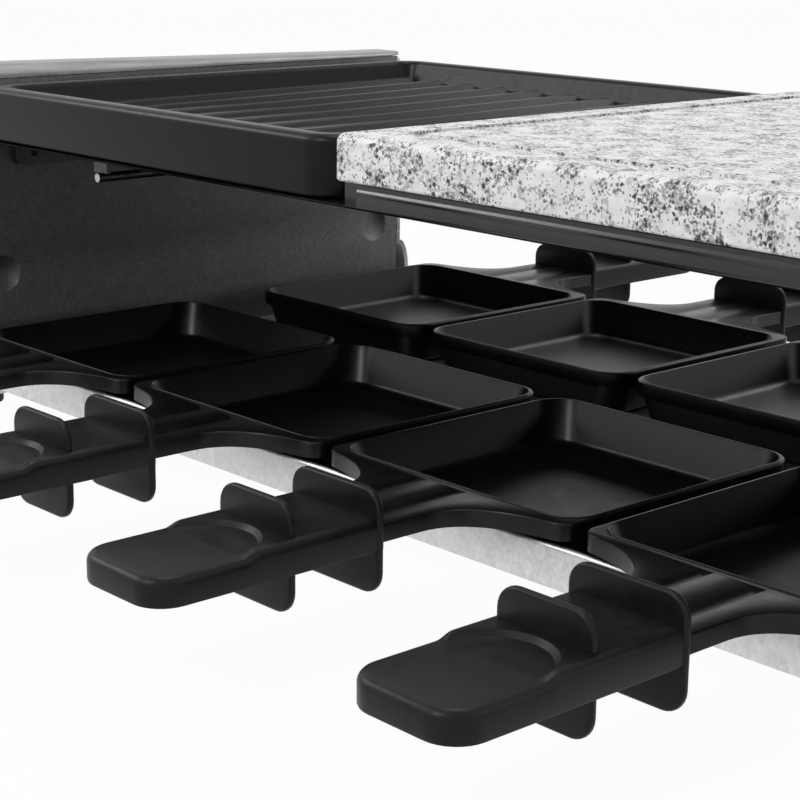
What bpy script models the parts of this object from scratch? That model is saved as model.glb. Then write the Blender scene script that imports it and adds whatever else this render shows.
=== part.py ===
"""Raclette grill for eight people.

Eight small pans stand in two rows on a base tray. Two end covers carry a black
frame above them, with a ribbed cast plate on its left half, a granite plate on
its right half and a bent heating element underneath.

Metres, +Z up. X runs along the grill, -Y is the front row of pans, and the
origin is on the table, under the middle of the grill.
"""
from math import cos, sin, pi, radians

import bpy
import bmesh
from mathutils import Matrix, Vector

for old in list(bpy.data.objects):
    bpy.data.objects.remove(old, do_unlink=True)

# Driving dimensions
PANS_PER_ROW = 4
PAN_SPACING = 0.005          # between the rims of neighbours
PAN_SHIFT = 0.004            # the rows of pans stand this far right of the middle
PAN_SIZE = 0.098             # outside of the square rim
PAN_HEIGHT = 0.016
PAN_BEHIND_LIP = 0.0019      # from the front of the tray to the rims of the front row
BAY_ROOM = 0.014             # how much longer the bay is than the four pitches
TRAY_DEPTH = 0.2326
TRAY_FLOOR_Z = 0.0177        # top of the tray floor above the table
PLATE_SPLIT = 0.0018         # gap between the two cooking plates
PLATE_END_ROOM = 0.0082      # from the plates to the inner end panels
GRILL_HEIGHT = 0.0190
STONE_THICKNESS = 0.014
FRAME_HEIGHT = 0.0075
FRAME_Z = 0.1044             # underside of the frame above the table
COVER_WIDTH = 0.0167         # end cover, from the inner panel outwards

# How far each piece stands behind or in front of the one below it, at the front and the back
COVER_SETBACK = 0.0051       # end cover behind the front of the tray
FOOT_PROUD = 0.0002          # flared foot of the cover in front of the tray
PANEL_SETBACK = 0.0036       # inner panel behind the end cover
FRAME_SETBACK = 0.0078       # frame behind the front of the tray
GRILL_SETBACK = 0.001        # ribbed plate behind the frame
STONE_PROUD = 0.0005         # granite plate in front of the frame
COVER_ABOVE_FRAME = 0.021    # top of the end covers above the underside of the frame

PAN_PITCH = PAN_SIZE + PAN_SPACING
PAN_ROW_Y = TRAY_DEPTH / 2 - PAN_BEHIND_LIP - PAN_SIZE / 2
BAY_LENGTH = PANS_PER_ROW * PAN_PITCH + BAY_ROOM
PLATE_LENGTH = (BAY_LENGTH - PLATE_SPLIT) / 2 - PLATE_END_ROOM
FRAME_DEPTH = TRAY_DEPTH - 2 * FRAME_SETBACK
GRILL_DEPTH = FRAME_DEPTH - 2 * GRILL_SETBACK
STONE_DEPTH = FRAME_DEPTH + 2 * STONE_PROUD
COVER_DEPTH = TRAY_DEPTH - 2 * COVER_SETBACK
COVER_FOOT_DEPTH = TRAY_DEPTH + 2 * FOOT_PROUD
PANEL_DEPTH = COVER_DEPTH - 2 * PANEL_SETBACK
COVER_TOP_Z = FRAME_Z + COVER_ABOVE_FRAME

# Clearances and tool values
GAP = 0.0003                 # between pieces that rest on or touch each other
OVERRUN = 0.002              # how far a cutter runs past the face it cuts
SHEET = 0.001                # wall of the tray and of the inner panels
CORNER_STEPS = 4             # segments in a quarter turn
SMOOTH_ANGLE = radians(32)


def material(name, colour, roughness, metallic):
    made = bpy.data.materials.new(name)
    made.use_nodes = True
    shader = made.node_tree.nodes["Principled BSDF"]
    shader.inputs["Base Color"].default_value = (*colour, 1.0)
    shader.inputs["Roughness"].default_value = roughness
    shader.inputs["Metallic"].default_value = metallic
    return made


galvanised = material("galvanised_sheet", (0.42, 0.42, 0.42), 0.45, 1.0)
brushed = material("brushed_steel", (0.62, 0.62, 0.61), 0.35, 1.0)
nonstick = material("nonstick_coating", (0.025, 0.025, 0.027), 0.42, 0.0)
cast_coating = material("cast_plate_coating", (0.03, 0.03, 0.032), 0.48, 0.0)
plastic = material("black_plastic", (0.03, 0.03, 0.03), 0.55, 0.0)
enamel = material("black_frame_enamel", (0.018, 0.018, 0.019), 0.35, 0.0)
granite = material("granite", (0.66, 0.65, 0.63), 0.4, 0.0)
element_steel = material("element_sheath", (0.16, 0.15, 0.15), 0.5, 1.0)
zinc = material("zinc_plated_steel", (0.6, 0.6, 0.58), 0.35, 1.0)
rubber = material("foot_rubber", (0.03, 0.03, 0.03), 0.85, 0.0)
lamp_lens = material("lamp_lens", (0.5, 0.03, 0.02), 0.2, 0.0)


def finish(name, bm, look):
    """Turn a bmesh into an object with smooth round sides and sharp edges."""
    bmesh.ops.recalc_face_normals(bm, faces=bm.faces)
    mesh = bpy.data.meshes.new(name)
    bm.to_mesh(mesh)
    bm.free()
    mesh.shade_smooth()
    mesh.set_sharp_from_angle(angle=SMOOTH_ANGLE)
    mesh.materials.append(look)
    made = bpy.data.objects.new(name, mesh)
    bpy.context.scene.collection.objects.link(made)
    return made


def loft(name, rings, look, closed=False):
    """Join rings of equally many points; cap both ends, or close the loop."""
    bm = bmesh.new()
    loops = [[bm.verts.new(point) for point in ring] for ring in rings]
    pairs = list(zip(loops, loops[1:]))
    if closed:
        pairs.append((loops[-1], loops[0]))
    else:
        bm.faces.new(reversed(loops[0]))
        bm.faces.new(loops[-1])
    for low, high in pairs:
        for i in range(len(low)):
            j = (i + 1) % len(low)
            bm.faces.new((low[i], low[j], high[j], high[i]))
    return finish(name, bm, look)


def combine(target, tool, operation):
    """Union or difference with a tool object, which is used up."""
    step = target.modifiers.new(operation, "BOOLEAN")
    step.operation = operation
    step.solver = "EXACT"
    step.object = tool
    graph = bpy.context.evaluated_depsgraph_get()
    mesh = bpy.data.meshes.new_from_object(target.evaluated_get(graph))
    target.modifiers.clear()
    target.data = mesh
    bpy.data.objects.remove(tool, do_unlink=True)
    mesh.shade_smooth()
    mesh.set_sharp_from_angle(angle=SMOOTH_ANGLE)


def join_to(target, tool):
    combine(target, tool, "UNION")


def cut_from(target, tool):
    combine(target, tool, "DIFFERENCE")


def rounded_rect(half_a, half_b, radius, steps=CORNER_STEPS):
    """Outline of a rectangle with round corners, anticlockwise."""
    points = []
    for turn, (sign_a, sign_b) in enumerate(((1, 1), (-1, 1), (-1, -1), (1, -1))):
        for i in range(steps + 1):
            angle = (turn + i / steps) * pi / 2
            points.append((sign_a * (half_a - radius) + radius * cos(angle),
                           sign_b * (half_b - radius) + radius * sin(angle)))
    return points


def circle(radius, steps):
    return [(radius * cos(2 * pi * i / steps), radius * sin(2 * pi * i / steps))
            for i in range(steps)]


def prism(name, outline, axis, low, high, look):
    """Extrude an outline along one axis; its points are the two other axes in order."""
    def place(a, b, level):
        return {"X": (level, a, b), "Y": (a, level, b), "Z": (a, b, level)}[axis]
    return loft(name, [[place(a, b, level) for a, b in outline] for level in (low, high)], look)


def block(name, low, high, look):
    """A box between two corners."""
    outline = [(low[0], low[1]), (high[0], low[1]), (high[0], high[1]), (low[0], high[1])]
    return prism(name, outline, "Z", low[2], high[2], look)


def turned(name, profile, axis, centre, look, steps=16, closed=False):
    """Turn (radius, level) pairs round a line along one axis through a centre."""
    def place(a, b, level):
        return {"X": (level, centre[0] + a, centre[1] + b),
                "Y": (centre[0] + a, level, centre[1] + b),
                "Z": (centre[0] + a, centre[1] + b, level)}[axis]
    rings = [[place(a, b, level) for a, b in circle(radius, steps)] for radius, level in profile]
    return loft(name, rings, look, closed)


# Base tray
# Galvanised sheet with a hemmed lip along the front and the back.
LIP_THICKNESS = 0.0022
LIP_RISE = 0.0096            # lip above the tray floor
LIP_DROP = 0.0026            # lip below the top of the floor
LIP_STEPS = 4

tray_half = BAY_LENGTH / 2 + SHEET
lip_y = TRAY_DEPTH / 2
lip_top = TRAY_FLOOR_Z + LIP_RISE
lip_inner_y = lip_y - LIP_THICKNESS


def tray_side(sign):
    """Section of one lip, from the floor's top round to its underside."""
    radius = LIP_THICKNESS / 2
    points = [(lip_inner_y, TRAY_FLOOR_Z)]
    for i in range(LIP_STEPS + 1):
        angle = pi - pi * i / LIP_STEPS
        points.append((lip_y - radius + radius * cos(angle), lip_top - radius + radius * sin(angle)))
    points += [(lip_y, TRAY_FLOOR_Z - LIP_DROP), (lip_inner_y, TRAY_FLOOR_Z - LIP_DROP),
               (lip_inner_y, TRAY_FLOOR_Z - SHEET)]
    return [(sign * y, z) for y, z in points]


prism("base_tray", tray_side(1) + tray_side(-1)[::-1], "X", -tray_half, tray_half, galvanised)

# Pans
# Die-cast and coated: a drafted square dish with a rounded rim. The flange round it
# widens in front to an apron that flows into the tongue, which has two shallow
# valleys and ends in a flat tang.
PAN_CORNER = 0.011
PAN_CORNER_STEPS = 3
PAN_FLANGE = 0.0051          # height of the flange
PAN_OVERHANG = 0.0016        # flange beyond the dish wall
PAN_WALL = 0.0014
PAN_DRAFT = 0.0028           # how far the wall leans in from flange to floor
PAN_FLOOR = 0.002
PAN_BASE_ROUND = 0.0016
PAN_LIP_ROUND = 0.0005
APRON_WIDTH = 0.0028         # apron in front of the rim, at its corners
APRON_CORNER = 0.0058
APRON_DIP = 0.0002           # apron and tongue lie this far below the rim
TONGUE_HALF = 0.0172
TONGUE_LENGTH = 0.0377       # from the rim to the handle
TONGUE_BEND = 0.007          # from the rim to where the flare turns most
TONGUE_BLEND = 0.024         # from the rim to where the flare ends
TONGUE_STEPS = 6
VALLEY_OFFSET = 0.0080
VALLEY_WIDTH = 0.0036
VALLEY_DEPTH = 0.0009
VALLEY_FLOOR_SHARE = 0.6     # floor of the valley, of its width
VALLEY_START = 0.0011        # from the rim to the valley's end
TANG_HALF = 0.011
TANG_THICKNESS = 0.0022
TANG_LENGTH = 0.024
TANG_BELOW_RIM = 0.0015

pan_half = PAN_SIZE / 2
flange_z = PAN_HEIGHT - PAN_FLANGE
dish_top = pan_half - PAN_OVERHANG
dish_foot = dish_top - PAN_DRAFT
tongue_end = pan_half + TONGUE_LENGTH - GAP
tongue_top = PAN_HEIGHT - APRON_DIP


def quarter(centre_x, centre_y, radius, turn, steps):
    """A quarter circle that starts at a number of quarter turns from +X."""
    return [(centre_x + radius * cos((turn + i / steps) * pi / 2),
             centre_y + radius * sin((turn + i / steps) * pi / 2)) for i in range(steps + 1)]


def flare(inset):
    """Left half of the tongue's outline, from the apron's corner to the handle."""
    start = Vector((-(pan_half - APRON_CORNER), -(pan_half + APRON_WIDTH)))
    bend = Vector((-TONGUE_HALF, -(pan_half + TONGUE_BEND)))
    end = Vector((-TONGUE_HALF, -(pan_half + TONGUE_BLEND)))
    points = []
    for i in range(1, TONGUE_STEPS + 1):
        t = i / TONGUE_STEPS
        x, y = start * (1 - t) ** 2 + bend * 2 * t * (1 - t) + end * t ** 2
        points.append((x + inset * t, y + inset * (1 - t)))
    return points + [(-TONGUE_HALF + inset, -tongue_end + inset)]


def pan_ring(z, half, front):
    """One level of the pan: three plain sides, and a front side with the given left half."""
    side = half - (PAN_CORNER - (pan_half - half))
    corner = half - side
    back = quarter(side, side, corner, 0, PAN_CORNER_STEPS)
    back += quarter(-side, side, corner, 1, PAN_CORNER_STEPS)
    return [(x, y, z) for x, y in back + front + [(-x, y) for x, y in reversed(front)]]


def dish_ring(z, half):
    side = half - (PAN_CORNER - (pan_half - half))
    front = quarter(-side, -side, half - side, 2, PAN_CORNER_STEPS)
    front += [(x * side / pan_half, -half) for x, y in flare(0)]
    return pan_ring(z, half, front)


def flange_ring(z, inset):
    corner = APRON_CORNER
    front = quarter(-(pan_half - corner), -(pan_half + APRON_WIDTH - corner), corner - inset, 2,
                    PAN_CORNER_STEPS)
    return pan_ring(z, pan_half - inset, front + flare(inset))


def pan_mesh():
    lip = PAN_LIP_ROUND
    floor_half = dish_foot - PAN_WALL
    pan = loft("pan", [
        dish_ring(0.0, dish_foot - PAN_BASE_ROUND),
        dish_ring(PAN_BASE_ROUND * (1 - cos(pi / 4)), dish_foot - PAN_BASE_ROUND * (1 - sin(pi / 4))),
        dish_ring(PAN_BASE_ROUND, dish_foot),
        dish_ring(flange_z, dish_top),
        flange_ring(flange_z, 0.0),
        flange_ring(tongue_top - lip, 0.0),
        flange_ring(tongue_top, lip),
        dish_ring(PAN_HEIGHT, dish_top + lip),
        dish_ring(PAN_HEIGHT - 2 * lip, dish_top),
        dish_ring(PAN_FLOOR + PAN_BASE_ROUND / 2, floor_half),
        dish_ring(PAN_FLOOR, floor_half - PAN_BASE_ROUND),
    ], nonstick)
    tang_top = PAN_HEIGHT - TANG_BELOW_RIM
    join_to(pan, block("tang", (-TANG_HALF, -tongue_end - TANG_LENGTH, tang_top - TANG_THICKNESS),
                       (TANG_HALF, -tongue_end + OVERRUN, tang_top), nonstick))
    top = VALLEY_WIDTH / 2
    floor = top * VALLEY_FLOOR_SHARE
    for side in (-1, 1):
        middle = side * VALLEY_OFFSET
        section = [(middle - floor, tongue_top - VALLEY_DEPTH), (middle + floor, tongue_top - VALLEY_DEPTH),
                   (middle + top, tongue_top), (middle + top, tongue_top + OVERRUN),
                   (middle - top, tongue_top + OVERRUN), (middle - top, tongue_top)]
        cut_from(pan, prism("valley", section, "Y", -tongue_end - OVERRUN,
                            -pan_half - VALLEY_START, nonstick))
    return pan.data, pan


# Pan handles
# Moulded black plastic, pushed over the tang: a flat bar that steps down to a
# thumb rest at its end, crossed by two upright finger guards.
BAR_HALF = 0.0176
BAR_TOP = 0.00175            # above the pan's rim
BAR_BOTTOM = 0.0075          # below the pan's rim
BAR_TOP_ROUND = 0.002
BAR_EDGE = 0.0005
REST_DROP = 0.00135          # from the bar's top down to the thumb rest
REST_BAY_RADIUS = 0.0145
REST_BAY_RISE = 0.00005      # floor of the round bay above the thumb rest
STEP_START = 0.0405          # from the pan end of the handle
STEP_LENGTH = 0.0052
STEP_STEPS = 3
HANDLE_LENGTH = 0.0724
TIP_ROUND = 0.009
TIP_STEPS = 4
GUARD_THICKNESS = 0.0022
GUARD_ROUND = 0.0062
GUARD_EDGE = 0.0005
GUARD_DROP = 0.0196          # below the pan's rim
FIRST_GUARD_HALF = 0.018
FIRST_GUARD_TOP = 0.0093     # above the pan's rim
SECOND_GUARD_HALF = 0.0148
SECOND_GUARD_TOP = 0.0106
SECOND_GUARD_AT = 0.0268     # from the pan end of the handle

handle_start = tongue_end + GAP
bar_top = PAN_HEIGHT + BAR_TOP
bar_bottom = PAN_HEIGHT - BAR_BOTTOM
rest_top = bar_top - REST_DROP


def bar_section(y, half, top):
    """Cross-section of the bar: sharp below, well rounded along both top edges."""
    points = [(half - BAR_EDGE, bar_bottom), (half, bar_bottom + BAR_EDGE)]
    for i in range(3):
        angle = pi / 4 * i
        points.append((half - BAR_TOP_ROUND * (1 - cos(angle)),
                       top - BAR_TOP_ROUND * (1 - sin(angle))))
    return ([(x, y, z) for x, z in points] + [(-x, y, z) for x, z in reversed(points)])


def finger_guard(at, half, rise):
    """An upright plate across the bar with round corners."""
    top = PAN_HEIGHT + rise
    bottom = PAN_HEIGHT - GUARD_DROP
    middle = (top + bottom) / 2
    rings = []
    for step, inset in ((0, GUARD_EDGE), (GUARD_EDGE, 0), (GUARD_THICKNESS - GUARD_EDGE, 0),
                        (GUARD_THICKNESS, GUARD_EDGE)):
        outline = rounded_rect(half - inset, (top - bottom) / 2 - inset, GUARD_ROUND - inset, 3)
        rings.append([(x, -at - step, middle + z) for x, z in outline])
    return loft("finger_guard", rings, plastic)


def handle_mesh():
    stations = [(handle_start + GUARD_THICKNESS / 4, BAR_HALF, bar_top)]
    for i in range(STEP_STEPS + 1):
        share = i / STEP_STEPS
        drop = REST_DROP * (1 - cos(pi * share)) / 2
        stations.append((handle_start + STEP_START + STEP_LENGTH * share, BAR_HALF, bar_top - drop))
    for i in range(TIP_STEPS + 1):
        angle = pi / 2 * i / TIP_STEPS
        stations.append((handle_start + HANDLE_LENGTH - TIP_ROUND * (1 - sin(angle)),
                         BAR_HALF - TIP_ROUND * (1 - cos(angle)), rest_top))
    handle = loft("handle", [bar_section(-y, half, top) for y, half, top in stations], plastic)
    bay_y = handle_start + STEP_START + STEP_LENGTH
    cut_from(handle, turned("thumb_bay", ((REST_BAY_RADIUS, rest_top + REST_BAY_RISE),
                                          (REST_BAY_RADIUS, bar_top + OVERRUN)),
                            "Z", (0, -bay_y), plastic, steps=24))
    join_to(handle, finger_guard(handle_start, FIRST_GUARD_HALF, FIRST_GUARD_TOP))
    join_to(handle, finger_guard(handle_start + SECOND_GUARD_AT, SECOND_GUARD_HALF,
                                 SECOND_GUARD_TOP))
    tang_top = PAN_HEIGHT - TANG_BELOW_RIM
    cut_from(handle, block("tang_slot",
                           (-TANG_HALF - GAP, -tongue_end - TANG_LENGTH - GAP,
                            tang_top - TANG_THICKNESS - GAP),
                           (TANG_HALF + GAP, -tongue_end + OVERRUN, tang_top + GAP), plastic))
    return handle.data, handle


pan_data, pan_pattern = pan_mesh()
handle_data, handle_pattern = handle_mesh()
for row, facing, turn in (("front", -1, 0.0), ("back", 1, pi)):
    for number in range(PANS_PER_ROW):
        x = PAN_SHIFT + (number - (PANS_PER_ROW - 1) / 2) * PAN_PITCH
        for kind, data in (("pan", pan_data), ("pan_handle", handle_data)):
            piece = bpy.data.objects.new(f"{row}_{kind}_{number + 1}", data)
            piece.location = (x, facing * PAN_ROW_Y, TRAY_FLOOR_Z + GAP)
            piece.rotation_euler = (0, 0, turn)
            bpy.context.scene.collection.objects.link(piece)
for pattern in (pan_pattern, handle_pattern):
    bpy.data.objects.remove(pattern, do_unlink=True)

# Heating element
# A steel sheathed tube bent into four runs; both ends leave through the right panel.
ELEMENT_RADIUS = 0.003
ELEMENT_INNER_RUN = 0.025    # the two middle runs, from the middle
ELEMENT_OUTER_IN = 0.0365    # the two outer runs, from the outside of the frame
ELEMENT_LEFT_ROOM = 0.0175   # from the left panel to the two left bends
ELEMENT_RIGHT_ROOM = 0.030   # from the right panel to the right bend
ELEMENT_TAIL = 0.010         # cold ends beyond the right panel
ELEMENT_BEND_STEPS = 10
ROD_RADIUS = 0.0017
ROD_BELOW_FRAME = 0.0085
ROD_FROM_PANEL = 0.068
ROD_END_IN = 0.0135          # ends of the rod, from the outside of the frame

rod_x = BAY_LENGTH / 2 - ROD_FROM_PANEL
rod_z = FRAME_Z - ROD_BELOW_FRAME
rod_half = FRAME_DEPTH / 2 - ROD_END_IN
outer_run = FRAME_DEPTH / 2 - ELEMENT_OUTER_IN
side_radius = (outer_run - ELEMENT_INNER_RUN) / 2
left_turn = BAY_LENGTH / 2 - ELEMENT_LEFT_ROOM - side_radius
right_turn = BAY_LENGTH / 2 - ELEMENT_RIGHT_ROOM - ELEMENT_INNER_RUN
element_z = rod_z + ROD_RADIUS + GAP + ELEMENT_RADIUS


def bend(centre_x, centre_y, radius, start, stop):
    return [(centre_x + radius * cos(start + (stop - start) * i / ELEMENT_BEND_STEPS),
             centre_y + radius * sin(start + (stop - start) * i / ELEMENT_BEND_STEPS))
            for i in range(ELEMENT_BEND_STEPS + 1)]


def heating_element():
    side_y = (ELEMENT_INNER_RUN + outer_run) / 2
    tail_x = BAY_LENGTH / 2 + SHEET + ELEMENT_TAIL
    route = [(tail_x, -outer_run)]
    route += bend(-left_turn, -side_y, side_radius, -pi / 2, -3 * pi / 2)
    route += bend(right_turn, 0, ELEMENT_INNER_RUN, -pi / 2, pi / 2)
    route += bend(-left_turn, side_y, side_radius, -pi / 2, -3 * pi / 2)
    route.append((tail_x, outer_run))
    curve = bpy.data.curves.new("heating_element", "CURVE")
    curve.dimensions = "3D"
    curve.bevel_depth = ELEMENT_RADIUS
    curve.bevel_resolution = 2
    curve.use_fill_caps = True
    curve.materials.append(element_steel)
    spline = curve.splines.new("POLY")
    spline.points.add(len(route) - 1)
    for point, (x, y) in zip(spline.points, route):
        point.co = (x, y, element_z, 1)
    made = bpy.data.objects.new("heating_element", curve)
    bpy.context.scene.collection.objects.link(made)


heating_element()

# The rod lies under the free end of the element and is welded below two tabs of the frame.
ROD_CHAMFER = 0.0003
turned("element_support_rod",
       ((ROD_RADIUS - ROD_CHAMFER, -rod_half), (ROD_RADIUS, -rod_half + ROD_CHAMFER),
        (ROD_RADIUS, rod_half - ROD_CHAMFER), (ROD_RADIUS - ROD_CHAMFER, rod_half)),
       "Y", (-rod_x, rod_z), zinc, steps=14)

# Plate frame
# Pressed steel, black: a rolled bead above a round belly. The left half is cut
# back so that the skirt of the cast plate hangs in front of it.
FRAME_RAIL = 0.010           # width of the rail in plan
FRAME_CORNER = 0.006
FRAME_BEAD = 0.001           # radius of the rolled bead
FRAME_BEAD_BACK = 0.0026     # from the outside to where the top ledge starts
FRAME_NECK = 0.0014          # how far the groove below the bead is set back
FRAME_BELLY = 0.0023         # radius of the round lower part
FRAME_LEDGE_RISE = 0.0009    # the ledge stands this much above the bead
FRAME_FLANGE = 0.0008        # height of the flange left under the cast plate
SKIRT_WALL = 0.0055          # foot of the cast plate's skirt
SKIRT_TAPER = 0.0015         # how much thicker the skirt is at its top
SKIRT_ROOM = 0.0003          # room between skirt and frame
GRILL_CORNER = 0.014         # corners of the cast plate in plan
SKIRT_CUT_PAST = 0.0108      # the cut for the skirt runs this far past the middle in the rails
CROSSBAR_RIGHT = 0.010
CROSSBAR_LEFT = 0.008
TAB_HALF = 0.004
TAB_THICKNESS = 0.0015
TAB_LAP = 0.001              # how far the tab's arm reaches into the rail
TAB_ARM_Z = 0.0005           # arm above the underside of the frame

frame_half_x = BAY_LENGTH / 2 - GAP
frame_half_y = FRAME_DEPTH / 2
frame_top = FRAME_Z + FRAME_HEIGHT
flange_top = FRAME_Z + FRAME_FLANGE
grill_z = flange_top + GAP
plate_inner_x = PLATE_SPLIT / 2
plate_outer_x = plate_inner_x + PLATE_LENGTH


def frame_profile():
    """Section of the rail as (inset from the outside, height), from the inner foot."""
    bead_z = frame_top - FRAME_LEDGE_RISE - FRAME_BEAD
    belly_z = FRAME_Z + FRAME_BELLY
    points = [(FRAME_RAIL, FRAME_Z)]
    for i in range(5):
        angle = -pi / 2 + pi * 0.75 * i / 4
        points.append((GAP + FRAME_BELLY * (1 - cos(angle)), belly_z + FRAME_BELLY * sin(angle)))
    bead = []
    for i in range(5):
        angle = -pi / 3 + (pi / 3 + pi / 2) * i / 4
        bead.append((FRAME_BEAD * (1 - cos(angle)), bead_z + FRAME_BEAD * sin(angle)))
    points.append((FRAME_NECK, (points[-1][1] + bead[0][1]) / 2))
    points += bead
    points += [(FRAME_BEAD_BACK, frame_top), (FRAME_RAIL, frame_top)]
    return points


def ring_of(inset, z):
    outline = rounded_rect(frame_half_x - inset, frame_half_y - inset,
                           max(FRAME_CORNER - inset, FRAME_CORNER / 4))
    return [(x, y, z) for x, y in outline]


def skirt_cutter():
    """A channel that lets the skirt of the cast plate down to the flange."""
    skirt_in = SKIRT_WALL + SKIRT_TAPER + SKIRT_ROOM
    high = frame_top + OVERRUN
    middle = -(plate_inner_x + plate_outer_x) / 2
    outer = rounded_rect(PLATE_LENGTH / 2 + SKIRT_ROOM, frame_half_y + OVERRUN, OVERRUN)
    inner = rounded_rect(PLATE_LENGTH / 2 - skirt_in, GRILL_DEPTH / 2 - skirt_in,
                         GRILL_CORNER - skirt_in)
    rings = [[(middle + x, y, z) for x, y in outline]
             for outline, z in ((outer, flange_top), (outer, high), (inner, high), (inner, flange_top))]
    return loft("skirt_cutter", rings, enamel, closed=True)


def plate_frame():
    frame = loft("plate_frame", [ring_of(inset, z) for inset, z in frame_profile()], enamel,
                 closed=True)
    bar_y = frame_half_y - FRAME_RAIL + TAB_LAP
    join_to(frame, block("crossbar", (-CROSSBAR_LEFT, -bar_y, FRAME_Z + GAP / 2),
                         (CROSSBAR_RIGHT, bar_y, frame_top - GAP / 2), enamel))
    cut_from(frame, skirt_cutter())
    cut_from(frame, block("plate_room", (-plate_outer_x - SKIRT_ROOM, -frame_half_y - OVERRUN,
                                         frame_top - FRAME_LEDGE_RISE),
                          (SKIRT_ROOM - plate_inner_x, frame_half_y + OVERRUN,
                           frame_top + OVERRUN), enamel))
    for side in (-1, 1):
        low_y, high_y = sorted((side * (frame_half_y - SKIRT_WALL), side * (frame_half_y + OVERRUN)))
        cut_from(frame, block("rail_cut", (-CROSSBAR_LEFT, low_y, flange_top),
                              (SKIRT_CUT_PAST, high_y, frame_top + OVERRUN), enamel))
    tab_low = rod_z + ROD_RADIUS + GAP
    tab_y = rod_half - TAB_THICKNESS
    arm_z = FRAME_Z + TAB_ARM_Z
    section = [(tab_y - TAB_THICKNESS, tab_low), (tab_y, tab_low), (tab_y, arm_z),
               (bar_y, arm_z), (bar_y, arm_z + TAB_THICKNESS),
               (tab_y - TAB_THICKNESS, arm_z + TAB_THICKNESS)]
    for side in (-1, 1):
        join_to(frame, prism("tab", [(side * y, z) for y, z in section], "X",
                             -rod_x - TAB_HALF, -rod_x + TAB_HALF, enamel))


plate_frame()

# Cast grill plate
# Coated cast aluminium: a deep skirt, a round rim and a floor with straight
# ribs from front to back that ramp down at both ends.
GRILL_RIM_FLAT = 0.0024      # flat part on top of the rim
GRILL_RIM_EDGE = 0.0028      # radius of the rim's outer edge
GRILL_RIM_ROUND = 0.0022     # radius of its inner edge and of the skirt's foot
GRILL_FLOOR_DEPTH = 0.0090   # floor below the rim
GRILL_FLOOR_THICKNESS = 0.004
GRILL_WALL_LEAN = 0.002
GRILL_FLOOR_ROUND = 0.002
RIB_COUNT = 10
RIB_PITCH = 0.0193
RIB_HEIGHT = 0.003
RIB_FOOT = 0.0065
RIB_CREST = 0.003
RIB_RAMP = 0.004
RIB_END_ROOM = 0.0015        # from the rib's foot to the foot of the rim
RIB_SINK = 0.0004            # how deep the ribs reach into the floor

grill_top = grill_z + GRILL_HEIGHT
grill_floor = grill_top - GRILL_FLOOR_DEPTH
grill_x = -(plate_inner_x + plate_outer_x) / 2


def plate_ring(half_y, corner, inset, z):
    outline = rounded_rect(PLATE_LENGTH / 2 - inset, half_y - inset, max(corner - inset, corner / 4))
    return [(x, y, z) for x, y in outline]


def grill_rib(x):
    crest_z = grill_floor + RIB_HEIGHT
    foot_z = grill_floor - RIB_SINK
    inside = SKIRT_WALL + GRILL_WALL_LEAN + GRILL_FLOOR_ROUND
    foot_y = GRILL_DEPTH / 2 - inside - RIB_END_ROOM
    crest_y = foot_y - RIB_RAMP
    low = [(x - RIB_FOOT / 2, -foot_y), (x + RIB_FOOT / 2, -foot_y),
           (x + RIB_FOOT / 2, foot_y), (x - RIB_FOOT / 2, foot_y)]
    high = [(x - RIB_CREST / 2, -crest_y), (x + RIB_CREST / 2, -crest_y),
            (x + RIB_CREST / 2, crest_y), (x - RIB_CREST / 2, crest_y)]
    return loft("rib", [[(a, b, foot_z) for a, b in low], [(a, b, grill_floor) for a, b in low],
                        [(a, b, crest_z) for a, b in high]], cast_coating)


def grill_plate():
    half_y = GRILL_DEPTH / 2
    rim = GRILL_RIM_ROUND
    edge = GRILL_RIM_EDGE
    under_z = grill_floor - GRILL_FLOOR_THICKNESS
    wall_in = edge + GRILL_RIM_FLAT + rim
    steps = (
        (SKIRT_WALL + SKIRT_TAPER, under_z),
        (SKIRT_WALL, grill_z),
        (rim / 2, grill_z),
        (0.0, grill_z + rim / 2),
        (0.0, grill_top - edge),
        (edge * (1 - cos(pi / 4)), grill_top - edge * (1 - sin(pi / 4))),
        (edge, grill_top),
        (edge + GRILL_RIM_FLAT, grill_top),
        (wall_in - rim * (1 - sin(pi / 4)), grill_top - rim * (1 - cos(pi / 4))),
        (wall_in, grill_top - rim),
        (wall_in + GRILL_WALL_LEAN, grill_floor + GRILL_FLOOR_ROUND),
        (wall_in + GRILL_WALL_LEAN + GRILL_FLOOR_ROUND, grill_floor),
    )
    plate = loft("grill_plate", [plate_ring(half_y, GRILL_CORNER, inset, z) for inset, z in steps],
                 cast_coating)
    for number in range(RIB_COUNT):
        join_to(plate, grill_rib((number - (RIB_COUNT - 1) / 2) * RIB_PITCH))
    plate.location.x = grill_x


grill_plate()

# Granite plate
# Sawn and polished, with eased edges and a narrow juice groove round the top.
STONE_CORNER = 0.0025
STONE_TOP_ROUND = 0.0028
STONE_BOTTOM_ROUND = 0.0010
JUICE_GROOVE_IN = 0.0160     # middle of the groove from the edge
JUICE_GROOVE_HALF = 0.0028
JUICE_GROOVE_DEPTH = 0.0024
JUICE_GROOVE_CORNER = 0.005  # along the middle of the groove

stone_z = frame_top + GAP
stone_top = stone_z + STONE_THICKNESS
stone_x = (plate_inner_x + plate_outer_x) / 2


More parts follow.
